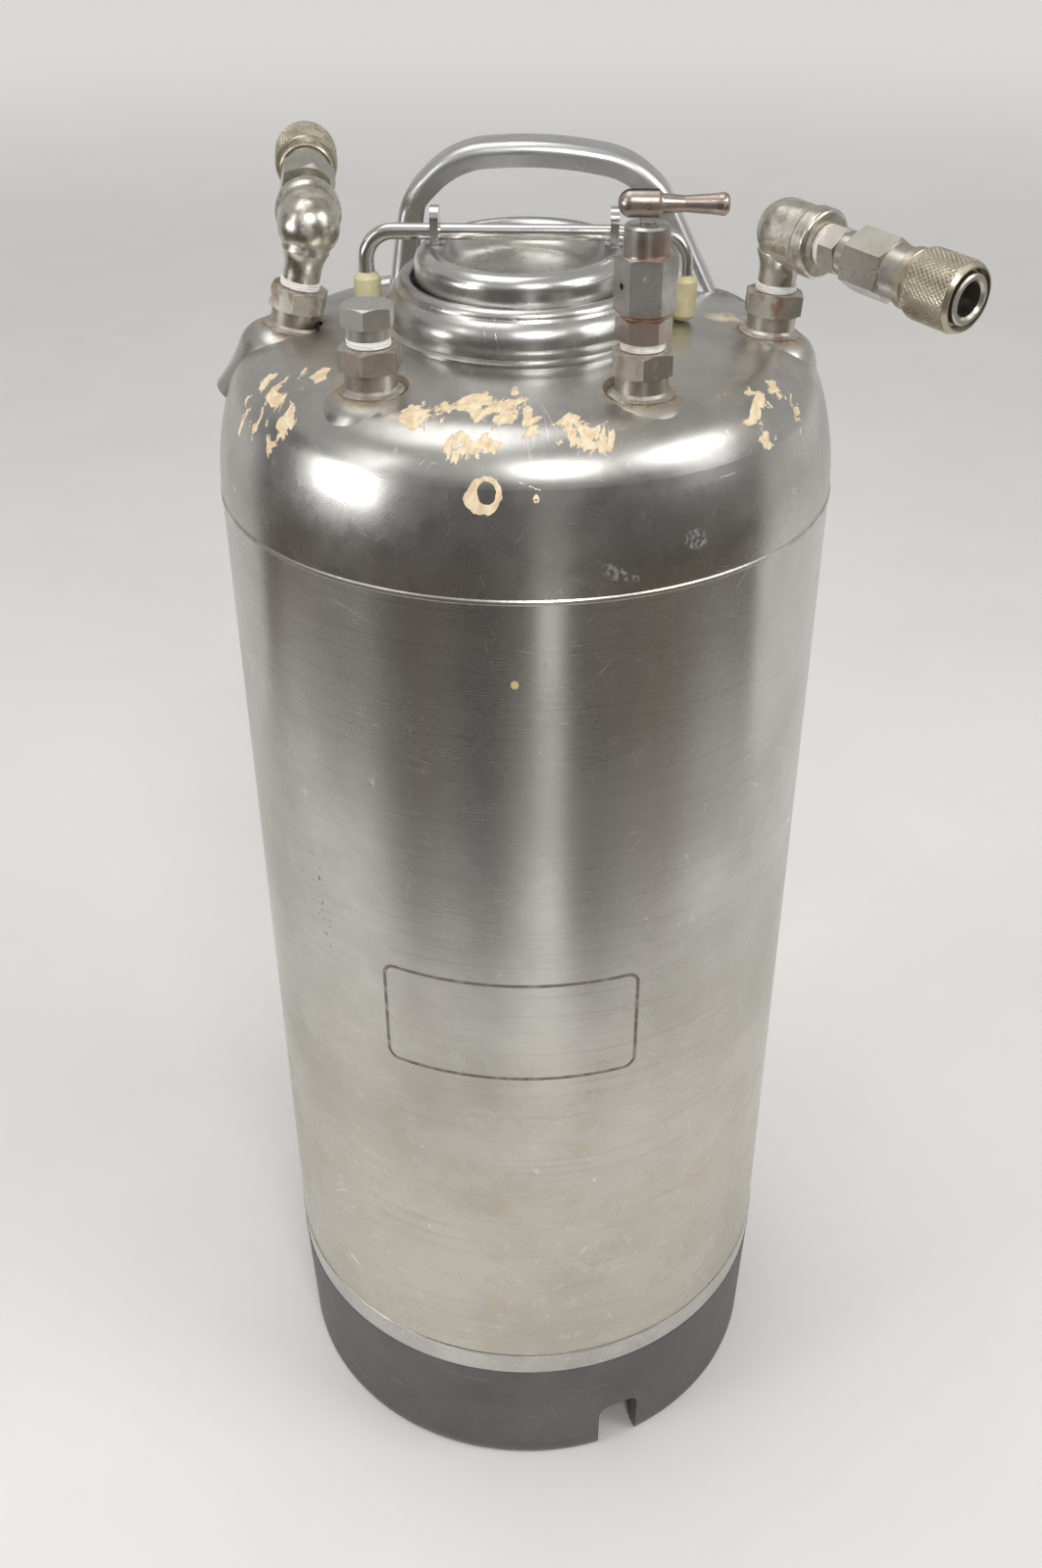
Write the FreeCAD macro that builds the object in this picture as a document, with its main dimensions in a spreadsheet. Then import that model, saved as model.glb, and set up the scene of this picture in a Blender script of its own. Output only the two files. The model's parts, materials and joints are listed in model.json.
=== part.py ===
import FreeCAD, Part
import Sketcher
import math
import os

from FreeCAD import Placement, Rotation, Vector

# Stainless steel pressure tank with an oval lid, a bail, a carry handle and four ports.
# Millimetres, +Z up, origin on the floor at the tank's axis, the bail's crossbar along X.

doc = FreeCAD.newDocument("pressure_tank")
sheet = doc.addObject("Spreadsheet::Sheet", "sizes")

DRIVING_SIZES = {
    # shell, heads and seams
    "shell_radius": 114.3,
    "wall": 1.8,
    "lower_seam": 76.0,
    "upper_seam": 456.7,
    "seam_width": 2.0,
    "seam_crown": 0.4,
    "side_bend": 102.0,
    "side_angle": 20.0,
    "knuckle_bend": 25.0,
    "crown_slope": 11.0,
    "ledge_depth": 5.1,
    "skirt_drop": 8.4,
    "bottom_knuckle": 30.0,
    "bottom_slope": 12.0,
    # rubber boot
    "boot_height": 64.4,
    "boot_proud": 0.2,
    "boot_taper": 1.8,
    "boot_wall": 6.5,
    "boot_edge": 2.5,
    "boot_grip_height": 26.0,
    "boot_fit": 0.08,
    "notch_width": 20.0,
    "notch_height": 28.0,
    "notch_round": 6.0,
    "notch_turn": 25.5,
    # oval mouth
    "mouth_half_width": 40.5,
    "mouth_half_length": 46.0,
    "lip_top": 530.8,
    "lip_thickness": 3.6,
    "lip_round": 1.8,
    "neck_wall_inside": 6.2,
    "neck_corner": 1.6,
    "neck_height": 17.8,
    "neck_foot": 10.7,
    "neck_toe": 1.9,
    "neck_bulge": 9.3,
    "bulge_drop": 11.4,
    "bulge_low": 14.9,
    "bulge_step": 0.6,
    "bulge_bend_low": 4.0,
    "bulge_bend": 9.0,
    "lip_under": 5.4,
    "lip_under_drop": 3.6,
    "lip_edge": 4.9,
    "lip_edge_drop": 2.6,
    "lip_edge_bend": 3.0,
    "lip_crest": 2.6,
    # ports
    "left_port": 84.5,
    "left_lean": 13.5,
    "front_left_port": 82.7,
    "front_left_turn": 235.3,
    "front_right_port": 79.4,
    "front_right_turn": 301.0,
    "right_port": 88.0,
    "right_lean": 3.8,
    "seat_drop": 21.0,
    "seat_face": 11.3,
    "seat_edge": 11.0,
    "seat_edge_slope": 20.0,
    "seat_wall_slope": 80.0,
    "seat_flare": 60.0,
    "seat_foot_slope": 62.0,
    "boss_radius": 8.75,
    "boss_weld": 11.0,
    "boss_neck": 7.2,
    "boss_hex_height": 8.0,
    "boss_hex": 19.05,
    "bore_radius": 6.4,
    "bore_floor": 3.0,
    "passage_radius": 5.2,
    "thread_fit": 0.1,
    "tape_radius": 7.1,
    "tape_height": 2.8,
    # dip tube
    "tube_radius": 4.75,
    "tube_wall": 0.9,
    "tube_bottom": 36.0,
    "tube_flange": 1.0,
    # carry handle
    "handle_front": 52.0,
    "handle_depth": 20.0,
    "handle_flange": 9.0,
    "handle_sheet": 1.6,
    "handle_round": 4.5,
    "handle_left": -57.0,
    "handle_right": 64.0,
    "tab_length": 20.0,
    "tab_bottom": 480.0,
    "handle_root": 500.0,
    "left_root_x": -57.6,
    "right_root_x": 76.7,
    "left_shoulder_x": -50.5,
    "left_shoulder_z": 543.5,
    "left_shoulder_bend": 26.0,
    "left_top_x": -31.0,
    "left_top_z": 562.3,
    "left_top_bend": 38.0,
    "crest_x": 8.0,
    "crest_z": 564.8,
    "crest_bend": 160.0,
    "right_top_x": 38.5,
    "right_top_z": 559.0,
    "right_top_bend": 36.0,
    "right_shoulder_x": 52.5,
    "right_shoulder_z": 547.0,
    "right_shoulder_bend": 30.0,
    # lid
    "lid_gap": 1.4,
    "lid_sheet": 1.8,
    "lid_crown": 540.0,
    "lid_floor": 531.6,
    "rim_bend": 5.3,
    "rim_slope": 60.0,
    "flange_reach": 4.8,
    "gasket_height": 5.6,
    "gasket_reach": 5.0,
    "gasket_play": 0.1,
    "ear_offset": 31.5,
    "ear_sheet": 3.0,
    "ear_width": 10.0,
    "ear_over_rod": 9.0,
    "weld_pad_width": 7.0,
    "weld_pad_length": 12.0,
    "weld_pad_proud": 0.4,
    # bail
    "rod_over_lip": 13.2,
    "bail_rod": 2.8,
    "bail_bend": 10.0,
    "bail_leg": 56.5,
    "bail_play": 0.1,
    "foot_radius": 4.8,
    "foot_drop": 16.3,
    "foot_length": 15.5,
    "foot_floor": 4.0,
    "foot_chamfer": 1.6,
    # plug
    "plug_neck": 7.2,
    "plug_neck_height": 3.5,
    "plug_hex": 16.0,
    "plug_hex_height": 7.0,
    # relief valve
    "adapter_hex": 15.8,
    "adapter_height": 7.7,
    "washer_radius": 8.3,
    "washer_height": 1.2,
    "valve_hex": 17.3,
    "valve_hex_height": 17.8,
    "collar_radius": 7.3,
    "collar_height": 9.0,
    "valve_bore": 4.2,
    "valve_floor": 2.8,
    "valve_roof": 3.6,
    "vent_radius": 1.1,
    "vent_turn": 30.0,
    "stem_radius": 2.0,
    "stem_play": 0.08,
    "piston_radius": 3.9,
    "piston_height": 2.0,
    "seal_height": 1.4,
    "spring_wire": 0.45,
    "spring_turns": 5.0,
    "tongue_width": 5.0,
    "tongue_sheet": 2.4,
    "lever_height": 5.8,
    "lever_radius": 4.2,
    "lever_tail": 5.2,
    "lever_shoulder": 3.9,
    "lever_neck": 2.4,
    "lever_tip": 3.4,
    "lever_length": 24.6,
    "slot_play": 0.1,
    "slot_end": 3.2,
    "pin_radius": 1.0,
    "pin_play": 0.07,
    "pin_length": 7.2,
    # elbows
    "left_rise": 35.9,
    "right_rise": 35.9,
    "left_turn": 101.1,
    "left_droop": -5.0,
    "right_turn": -48.9,
    "right_droop": 2.0,
    "leg_radius": 6.7,
    "flare_bend": 14.0,
    "flare_angle": 30.0,
    "flare_bottom": 14.5,
    "heel_offset": 2.0,
    "elbow_radius": 11.0,
    "band_radius": 11.9,
    "band_start": 12.4,
    "band_round": 1.6,
    "elbow_length": 19.5,
    "socket_depth": 9.0,
    "water_way": 4.0,
    # nipples and quick couplers, measured from the elbow's middle
    "nipple_hex": 15.0,
    "nipple_hex_length": 7.3,
    "nipple_round": 7.4,
    "nipple_length": 4.6,
    "nipple_stub": 8.0,
    "coupler_hex": 19.05,
    "coupler_hex_length": 16.3,
    "coupler_neck": 9.2,
    "coupler_neck_length": 11.5,
    "barrel_radius": 8.35,
    "mouth_radius": 5.7,
    "mouth_depth": 15.0,
    "nose_length": 19.5,
    "chamber_radius": 4.6,
    "sleeve_radius": 11.5,
    "sleeve_length": 23.7,
    "sleeve_collar": 10.2,
    "sleeve_play": 0.08,
    "sleeve_gap": 6.5,
    "land_start": 12.0,
    "land_length": 7.0,
    "ring_radius": 9.5,
    "ring_width": 1.2,
    "poppet_head": 4.2,
    "poppet_nose": 2.6,
    "poppet_stem": 1.2,
    "seal_section": 1.5,
}


class Size:
    """A number together with the sheet formula that gives it."""

    def __init__(self, number, formula=None):
        self.number = float(number)
        self.formula = formula or "(" + repr(round(float(number), 9)) + ")"

    def joined(self, sign, other, number):
        return Size(number, "(" + self.formula + " " + sign + " " + other.formula + ")")

    def __add__(self, other):
        other = as_size(other)
        return self.joined("+", other, self.number + other.number)

    def __sub__(self, other):
        other = as_size(other)
        return self.joined("-", other, self.number - other.number)

    def __mul__(self, other):
        other = as_size(other)
        return self.joined("*", other, self.number * other.number)

    def __truediv__(self, other):
        other = as_size(other)
        return self.joined("/", other, self.number / other.number)

    def __radd__(self, other):
        return as_size(other) + self

    def __rsub__(self, other):
        return as_size(other) - self

    def __rmul__(self, other):
        return as_size(other) * self

    def __neg__(self):
        return as_size(0.0) - self


def as_size(value):
    return value if isinstance(value, Size) else Size(value)


def sine(angle):
    return Size(math.sin(math.radians(angle.number)), "sin(" + angle.formula + " * 1 deg)")


def cosine(angle):
    return Size(math.cos(math.radians(angle.number)), "cos(" + angle.formula + " * 1 deg)")


class Sizes:
    """The sheet's cells by name."""

    def __init__(self, numbers):
        for row, (name, number) in enumerate(numbers.items(), start=1):
            sheet.set("A%d" % row, name)
            sheet.set("B%d" % row, repr(number))
            sheet.setAlias("B%d" % row, name)
            setattr(self, name, Size(number, "sizes." + name))


s = Sizes(DRIVING_SIZES)
seat_height = s.lip_top - s.seat_drop
bail_height = s.lip_top + s.rod_over_lip
ear_top = bail_height + s.ear_over_rod
foot_bottom = s.lip_top - s.foot_drop
doc.recompute()


def bind(item, name, value):
    """Sets a property and ties it to the sheet."""
    value = as_size(value)
    item.setExpression(name, value.formula)


def new_body(name, placement=None):
    body = doc.addObject("PartDesign::Body", name)
    body.Label = name
    body.Placement = placement or Placement()
    return body


def plane_of(body, role):
    return next(item for item in body.Origin.OriginFeatures if item.Role == role)


def attach(sketch, body, role, shift=None):
    sketch.AttachmentSupport = [(plane_of(body, role), "")]
    sketch.MapMode = "FlatFace"
    if shift is not None:
        sketch.AttachmentOffset = shift


def pin_point(sketch, geometry, end, x, y):
    """Ties one point of a sketch to the sheet."""
    for axis, kind, value in ((-2, "DistanceX", as_size(x)), (-1, "DistanceY", as_size(y))):
        if value.number == 0.0:
            sketch.addConstraint(Sketcher.Constraint("PointOnObject", geometry, end, axis))
        else:
            rule = Sketcher.Constraint(kind, -1, 1, geometry, end, value.number)
            index = sketch.addConstraint(rule)
            sketch.setExpression("Constraints[%d]" % index, value.formula)


def arc_between(start, end, bend):
    """Arc of a given radius; a positive bend turns left on the way from start to end."""
    half = (end - start) * 0.5
    radius = abs(bend)
    rise = math.sqrt(max(radius * radius - half.Length * half.Length, 0.0))
    left = Vector(-half.y, half.x, 0).normalize()
    centre = start + half + left * (rise if bend > 0 else -rise)
    first, last = (start, end) if bend > 0 else (end, start)
    begin = math.atan2(first.y - centre.y, first.x - centre.x)
    finish = math.atan2(last.y - centre.y, last.x - centre.x)
    if finish <= begin:
        finish += 2 * math.pi
    return Part.ArcOfCircle(Part.Circle(centre, Vector(0, 0, 1), radius), begin, finish)


def outline(body, name, role, corners, shift=None, closed=True):
    """Outline through corners (x, y) or (x, y, bend), where bend curves the edge that follows."""
    sketch = body.newObject("Sketcher::SketchObject", name)
    attach(sketch, body, role, shift)
    points = [Vector(as_size(c[0]).number, as_size(c[1]).number, 0) for c in corners]
    count = len(corners) if closed else len(corners) - 1
    heads = []
    tails = []
    for index in range(count):
        start = points[index]
        end = points[(index + 1) % len(points)]
        bend = as_size(corners[index][2]) if len(corners[index]) == 3 else None
        if bend is None:
            edge = sketch.addGeometry(Part.LineSegment(start, end), False)
            heads.append((edge, 1))
            tails.append((edge, 2))
        else:
            edge = sketch.addGeometry(arc_between(start, end, bend.number), False)
            heads.append((edge, 1 if bend.number > 0 else 2))
            tails.append((edge, 2 if bend.number > 0 else 1))
            radius = bend if bend.number > 0 else -bend
            rule = sketch.addConstraint(Sketcher.Constraint("Radius", edge, radius.number))
            sketch.setExpression("Constraints[%d]" % rule, radius.formula)
    for index in range(count if closed else count - 1):
        following = (index + 1) % count
        sketch.addConstraint(Sketcher.Constraint("Coincident", *tails[index], *heads[following]))
    for index in range(count):
        pin_point(sketch, *heads[index], corners[index][0], corners[index][1])
    if not closed:
        pin_point(sketch, *tails[-1], corners[-1][0], corners[-1][1])
    return sketch


def circle(body, name, role, radius, shift=None, x=0.0, y=0.0):
    sketch = body.newObject("Sketcher::SketchObject", name)
    attach(sketch, body, role, shift)
    middle = Vector(as_size(x).number, as_size(y).number, 0)
    edge = sketch.addGeometry(Part.Circle(middle, Vector(0, 0, 1), as_size(radius).number), False)
    rule = sketch.addConstraint(Sketcher.Constraint("Radius", edge, as_size(radius).number))
    sketch.setExpression("Constraints[%d]" % rule, as_size(radius).formula)
    pin_point(sketch, edge, 3, x, y)
    return sketch


def ellipse(body, name, role, half_width, half_length, shift=None):
    """Oval about the origin, longer along the sketch's own Y."""
    sketch = body.newObject("Sketcher::SketchObject", name)
    attach(sketch, body, role, shift)
    tip = Vector(0, half_length.number, 0)
    side = Vector(half_width.number, 0, 0)
    oval = sketch.addGeometry(Part.Ellipse(tip, side, Vector(0, 0, 0)), False)
    sketch.exposeInternalGeometry(oval)
    sketch.addConstraint(Sketcher.Constraint("Coincident", oval, 3, -1, 1))
    long_axis = oval + 1
    sketch.addConstraint(Sketcher.Constraint("PointOnObject", long_axis, 1, -2))
    for axis, size in ((long_axis, half_length * 2.0), (long_axis + 1, half_width * 2.0)):
        rule = sketch.addConstraint(Sketcher.Constraint("Distance", axis, size.number))
        sketch.setExpression("Constraints[%d]" % rule, size.formula)
    return sketch


def turn(body, name, corners, kind="PartDesign::Revolution", shift=None, role="XZ_Plane"):
    """Turns an outline (radius, height) about the sketch's upright axis."""
    sketch = outline(body, name + "_outline", role, corners, shift)
    feature = body.newObject(kind, name)
    feature.Profile = sketch
    feature.ReferenceAxis = (sketch, ["V_Axis"])
    feature.Angle = 360.0
    sketch.Visibility = False
    doc.recompute()
    return feature


def turned(name, corners, placement=None):
    body = new_body(name, placement)
    turn(body, name + "_turned", corners)
    return body


def pad(body, name, sketch, length, both=False, back=False):
    feature = body.newObject("PartDesign::Pad", name)
    feature.Profile = sketch
    bind(feature, "Length", length)
    feature.Midplane = both
    feature.Reversed = back
    doc.recompute()
    return feature


def pocket(body, name, sketch, length=None, both=False, back=False):
    feature = body.newObject("PartDesign::Pocket", name)
    feature.Profile = sketch
    if length is None:
        feature.Type = "ThroughAll"
    else:
        bind(feature, "Length", length)
    feature.Midplane = both
    feature.Reversed = back
    doc.recompute()
    return feature


def raised(height, turn_by=0.0):
    return Placement(Vector(0, 0, as_size(height).number), Rotation(Vector(0, 0, 1), turn_by))


def lift(sketch, height):
    """Ties a sketch's height above its plane to the sheet."""
    bind(sketch, "AttachmentOffset.Base.z", height)


def hexagon(body, name, flats, bottom, height, turn_by=0.0, top_bevel=True):
    """Hexagonal bar from bottom upwards with its upper corners bevelled."""
    reach = flats / math.sqrt(3.0)
    half = flats / 2.0
    corners = [(reach, 0.0), (reach / 2.0, half), (-reach / 2.0, half),
               (-reach, 0.0), (-reach / 2.0, -half), (reach / 2.0, -half)]
    sketch = outline(body, name + "_flats", "XY_Plane", corners, raised(bottom, turn_by))
    lift(sketch, bottom)
    pad(body, name, sketch, height)
    rim = reach + 1.0
    drop = (rim - half * 0.97) * math.tan(math.radians(25.0))
    top = as_size(bottom) + height
    turn(body, name + "_bevel", [(half * 0.97, top), (rim, top), (rim, top - drop)], "PartDesign::Groove")
    if not top_bevel:
        return
    low = as_size(bottom)
    turn(body, name + "_chamfer", [(half * 0.97, low), (rim, low + drop), (rim, low)], "PartDesign::Groove")


def swept_oval(body, name, corners, height):
    """Sweeps an outline, given as distance outside the mouth's edge, round the oval mouth."""
    path = ellipse(body, name + "_path", "XY_Plane", s.mouth_half_width, s.mouth_half_length,
                   raised(height))
    moved = [(s.mouth_half_width + c[0],) + tuple(c[1:]) for c in corners]
    section = outline(body, name + "_section", "XZ_Plane", moved)
    feature = body.newObject("PartDesign::AdditivePipe", name)
    feature.Profile = section
    feature.Spine = (path, ["Edge1"])
    feature.Mode = "Frenet"
    doc.recompute()
    return feature


# Port frames: origin on the seat's flat face, Z out of the port, X away from the tank's axis

def port_frame(distance, turns, lean=0.0):
    angle = math.radians(turns)
    reach = distance.number
    spot = Vector(reach * math.cos(angle), reach * math.sin(angle), seat_height.number)
    tilt = Rotation(Vector(0, 1, 0), lean)
    return Placement(spot, tilt.multiply(Rotation(Vector(0, 0, 1), turns)))


def above(frame, height, turns=0.0):
    """A frame moved along its own Z and turned about it."""
    step = Placement(Vector(0, 0, as_size(height).number), Rotation(Vector(0, 0, 1), as_size(turns).number))
    return frame.multiply(step)


LEFT = port_frame(s.left_port, 180.0, s.left_lean.number)
FRONT_LEFT = port_frame(s.front_left_port, s.front_left_turn.number)
FRONT_RIGHT = port_frame(s.front_right_port, s.front_right_turn.number)
RIGHT = port_frame(s.right_port, 0.0, s.right_lean.number)
VALVE = Placement(FRONT_RIGHT.Base, Rotation())

# Heights above the seat shared by all four ports
boss_top = s.boss_neck + s.boss_hex_height
tape_top = boss_top + s.tape_height
thread_radius = s.bore_radius - s.thread_fit


def head_corners(offset):
    """Top head's outline at a distance inside its outer face."""
    start_height = s.upper_seam + s.seam_width / 2.0
    start_radius = s.shell_radius - offset
    side = s.side_bend - offset
    knuckle = s.knuckle_bend - offset
    shoulder_radius = start_radius - side * (1.0 - cosine(s.side_angle))
    shoulder_height = start_height + side * sine(s.side_angle)
    rest = 90.0 - s.crown_slope
    edge_radius = shoulder_radius - knuckle * (cosine(s.side_angle) - cosine(rest))
    edge_height = shoulder_height + knuckle * (sine(rest) - sine(s.side_angle))
    crown = edge_radius / sine(s.crown_slope)
    top = edge_height + crown * (1.0 - cosine(s.crown_slope))
    return [(0.0, start_height), (start_radius, start_height, side),
            (shoulder_radius, shoulder_height, knuckle), (edge_radius, edge_height, crown), (0.0, top)]


def top_head():
    body = new_body("top_head")
    turn(body, "dome", head_corners(0.0))
    # Embossed seats, flat where the boss stands, rounded off towards the side
    ports = {"left": LEFT, "front_left": FRONT_LEFT, "front_right": FRONT_RIGHT, "right": RIGHT}
    for name, frame in ports.items():
        port_seat(body, name + "_seat", frame)
    # Rolled neck round the oval mouth
    lip = s.lip_top
    neck = [
        (0.0, lip - s.lip_round),
        (0.0, lip - s.lip_thickness),
        (s.neck_wall_inside - s.neck_corner, lip - s.lip_thickness, -s.neck_corner),
        (s.neck_wall_inside, lip - s.lip_thickness - s.neck_corner),
        (s.neck_wall_inside, lip - s.neck_height),
        (s.neck_foot, lip - s.neck_height),
        (s.neck_foot, lip - s.neck_height + s.neck_toe),
        (s.neck_bulge - s.bulge_step, lip - s.bulge_low, -s.bulge_bend_low),
        (s.neck_bulge, lip - s.bulge_drop, s.bulge_bend),
        (s.lip_under, lip - s.lip_under_drop),
        (s.lip_edge, lip - s.lip_edge_drop, s.lip_edge_bend),
        (s.lip_crest, lip),
        (s.lip_round, lip, s.lip_round),
    ]
    swept_oval(body, "neck", neck, lip)
    inner = head_corners(s.wall)
    turn(body, "hollow", inner, "PartDesign::Groove")
    mouth = ellipse(body, "mouth_outline", "XY_Plane", s.mouth_half_width + s.neck_wall_inside - 0.3,
                    s.mouth_half_length + s.neck_wall_inside - 0.3, raised(lip - 8.0))
    lift(mouth, lip - 8.0)
    pocket(body, "mouth", mouth, 40.0)
    return body


def port_seat(body, name, frame):
    shift = frame.multiply(Placement(Vector(0, 0, 0), Rotation(Vector(1, 0, 0), 90.0)))
    wall_radius = s.seat_face + s.seat_edge * (sine(s.seat_wall_slope) - sine(s.seat_edge_slope))
    wall_height = s.seat_edge * (cosine(s.seat_wall_slope) - cosine(s.seat_edge_slope))
    foot_radius = wall_radius + s.seat_flare * (sine(s.seat_wall_slope) - sine(s.seat_foot_slope))
    foot_height = wall_height + s.seat_flare * (cosine(s.seat_wall_slope) - cosine(s.seat_foot_slope))
    bump = [(0.0, foot_height), (foot_radius, foot_height, -s.seat_flare),
            (wall_radius, wall_height, s.seat_edge), (s.seat_face, 0.0), (0.0, 0.0)]
    turn(body, name, bump, shift=shift, role="XY_Plane")
    face = [(0.0, 0.0), (s.seat_face, 0.0), (s.seat_face + 3.0, 4.0), (0.0, 4.0)]
    turn(body, name + "_flat", face, "PartDesign::Groove", shift, "XY_Plane")
    hole = [(0.0, -30.0), (s.passage_radius, -30.0), (s.passage_radius, 1.0), (0.0, 1.0)]
    turn(body, name + "_hole", hole, "PartDesign::Groove", shift, "XY_Plane")


def shell():
    bottom = s.lower_seam + s.seam_width / 2.0
    top = s.upper_seam - s.seam_width / 2.0
    inside = s.shell_radius - s.wall
    return turned("shell", [(inside, bottom), (s.shell_radius, bottom), (s.shell_radius, top), (inside, top)])


def seam_weld(name, height):
    """Butt weld between two courses, its bead a little proud of the sheet."""
    half = s.seam_width / 2.0
    inside = s.shell_radius - s.wall
    outside = s.shell_radius + s.seam_crown
    corners = [(inside, -half), (s.shell_radius, -half), (outside, -half * 0.5),
               (outside, half * 0.5), (s.shell_radius, half), (inside, half)]
    body = turned(name, corners)
    body.setExpression("Placement.Base.z", height.formula)
    return body


def bottom_corners(offset):
    """Bottom head's outline: a straight skirt, a ledge that rests on the boot, then the dish."""
    start = s.lower_seam - s.seam_width / 2.0
    ledge = s.boot_height + offset
    side_radius = s.shell_radius - s.ledge_depth - offset
    side_height = s.boot_height - s.skirt_drop
    knuckle = s.bottom_knuckle - offset
    rest = 90.0 - s.bottom_slope
    edge_radius = side_radius - knuckle * (1.0 - cosine(rest))
    edge_height = side_height - knuckle * sine(rest)
    crown = edge_radius / sine(s.bottom_slope)
    low = edge_height - crown * (1.0 - cosine(s.bottom_slope))
    return [(0.0, low), (edge_radius, edge_height, knuckle), (side_radius, side_height),
            (side_radius, ledge), (s.shell_radius - offset, ledge), (s.shell_radius - offset, start),
            (0.0, start)], crown


def bottom_head():
    body = new_body("bottom_head")
    layers = (("dish", 0.0, "PartDesign::Revolution"), ("hollow", s.wall, "PartDesign::Groove"))
    for name, offset, kind in layers:
        corners, crown = bottom_corners(as_size(offset))
        corners[0] = corners[0] + (crown,)
        turn(body, name, corners, kind)
    return body


def base_boot():
    """Rubber boot with an open notch on two sides."""
    body = new_body("base_boot", Placement(Vector(0, 0, 0), Rotation(Vector(0, 0, 1), s.notch_turn.number)))
    top_radius = s.shell_radius + s.boot_proud
    low_radius = top_radius - s.boot_taper
    grip = s.shell_radius - s.ledge_depth + s.boot_fit
    inside = low_radius - s.boot_wall
    start = s.boot_height - s.boot_grip_height
    corners = [
        (inside, 0.0),
        (low_radius - s.boot_edge, 0.0, s.boot_edge),
        (low_radius, s.boot_edge),
        (top_radius, s.boot_height - 1.2),
        (top_radius - 1.0, s.boot_height),
        (grip, s.boot_height),
        (grip, start),
        (inside, start - 4.0),
    ]
    turn(body, "ring", corners)
    half = s.notch_width / 2.0
    side = s.notch_height - s.notch_round
    notch = outline(body, "notch_outline", "XZ_Plane", [
        (-half, -1.0), (half, -1.0), (half, side, s.notch_round), (half - s.notch_round, s.notch_height),
        (s.notch_round - half, s.notch_height, s.notch_round), (-half, side)])
    pocket(body, "notches", notch, s.shell_radius * 3.0, both=True)
    return body


def port_boss(name, frame):
    """Threaded boss: a round foot with its weld, then a hexagon, bored and stepped."""
    body = new_body(name, frame)
    foot = [(0.0, 0.0), (s.boss_weld, 0.0), (s.boss_weld, 0.6), (s.boss_radius + 0.9, 1.3),
            (s.boss_radius, 2.2), (s.boss_radius, s.boss_neck + 0.5), (0.0, s.boss_neck + 0.5)]
    turn(body, "foot", foot)
    hexagon(body, "flats", s.boss_hex, s.boss_neck, s.boss_hex_height, 30.0)
    bore = [(0.0, -1.0), (s.passage_radius, -1.0), (s.passage_radius, s.bore_floor),
            (s.bore_radius, s.bore_floor), (s.bore_radius, boss_top + 1.0), (0.0, boss_top + 1.0)]
    turn(body, "bore", bore, "PartDesign::Groove")
    return body


def thread_tape(name, frame, bottom):
    """Thread tape wound on the thread between two fittings."""
    body = turned(name, [(thread_radius + 0.05, 0.0), (s.tape_radius - 0.3, 0.0), (s.tape_radius, 0.4),
                         (s.tape_radius, s.tape_height - 0.4), (s.tape_radius - 0.3, s.tape_height),
                         (thread_radius + 0.05, s.tape_height)])
    body.Placement = above(frame, bottom)
    return body


def dip_tube():
    """Long tube from the right port down to the bottom head; its flange sits in the port."""
    outer = s.tube_radius
    inner = s.tube_radius - s.tube_wall
    low = s.tube_bottom - seat_height
    flange = s.bore_floor
    top = flange + s.tube_flange
    return turned("dip_tube", [(inner, low), (outer, low), (outer, flange), (thread_radius, flange),
                               (thread_radius, top), (inner, top)], RIGHT)


def handle_edge():
    """Outer edge of the carry handle seen from the front: (x, height, bend) at each sharp corner."""
    edge = [(s.left_root_x.number, s.handle_root.number, 0.0)]
    for corner in ("left_shoulder", "left_top", "crest", "right_top", "right_shoulder"):
        edge.append(tuple(getattr(s, corner + what).number for what in ("_x", "_z", "_bend")))
    edge.append((s.right_root_x.number, s.handle_root.number, 0.0))
    return edge


def edge_inside(depth):
    """Handle's edge moved inwards, still as sharp corners with their bends."""
    edge = handle_edge()
    points = [Vector(x, z, 0) for x, z, bend in edge]
    moved = []
    for index, (x, z, bend) in enumerate(edge):
        before = points[max(index - 1, 0)]
        after = points[min(index + 1, len(points) - 1)]
        way_in = (points[index] - before) if index > 0 else (after - points[index])
        way_out = (after - points[index]) if index < len(points) - 1 else way_in
        way_in = way_in.normalize()
        way_out = way_out.normalize()
        inward = Vector(way_in.y + way_out.y, -way_in.x - way_out.x, 0)
        scale = depth * 2.0 / (inward.Length * inward.Length)
        moved.append((points[index] + inward * scale, max(bend - depth, 0.0)))
    return moved


def rounded_path(corners):
    """Tangent points and bends along a run of rounded corners that all turn right."""
    path = [(corners[0][0].x, corners[0][0].y)]
    for (before, skip), (point, bend), (after, last) in zip(corners, corners[1:], corners[2:]):
        back = (before - point).normalize()
        ahead = (after - point).normalize()
        reach = bend / math.tan(back.getAngle(ahead) / 2.0)
        first = point + back * reach
        second = point + ahead * reach
        path.append((first.x, first.y, -bend))
        path.append((second.x, second.y))
    path.append((corners[-1][0].x, corners[-1][0].y))
    return path


def reversed_path(path):
    """The same run of corners walked the other way."""
    bends = [corner[2] if len(corner) == 3 else None for corner in path]
    backwards = []
    for index in range(len(path) - 1, -1, -1):
        bend = bends[index - 1] if index > 0 else None
        corner = path[index][:2]
        backwards.append(corner if bend is None else (corner[0], corner[1], -bend))
    return backwards


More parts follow.
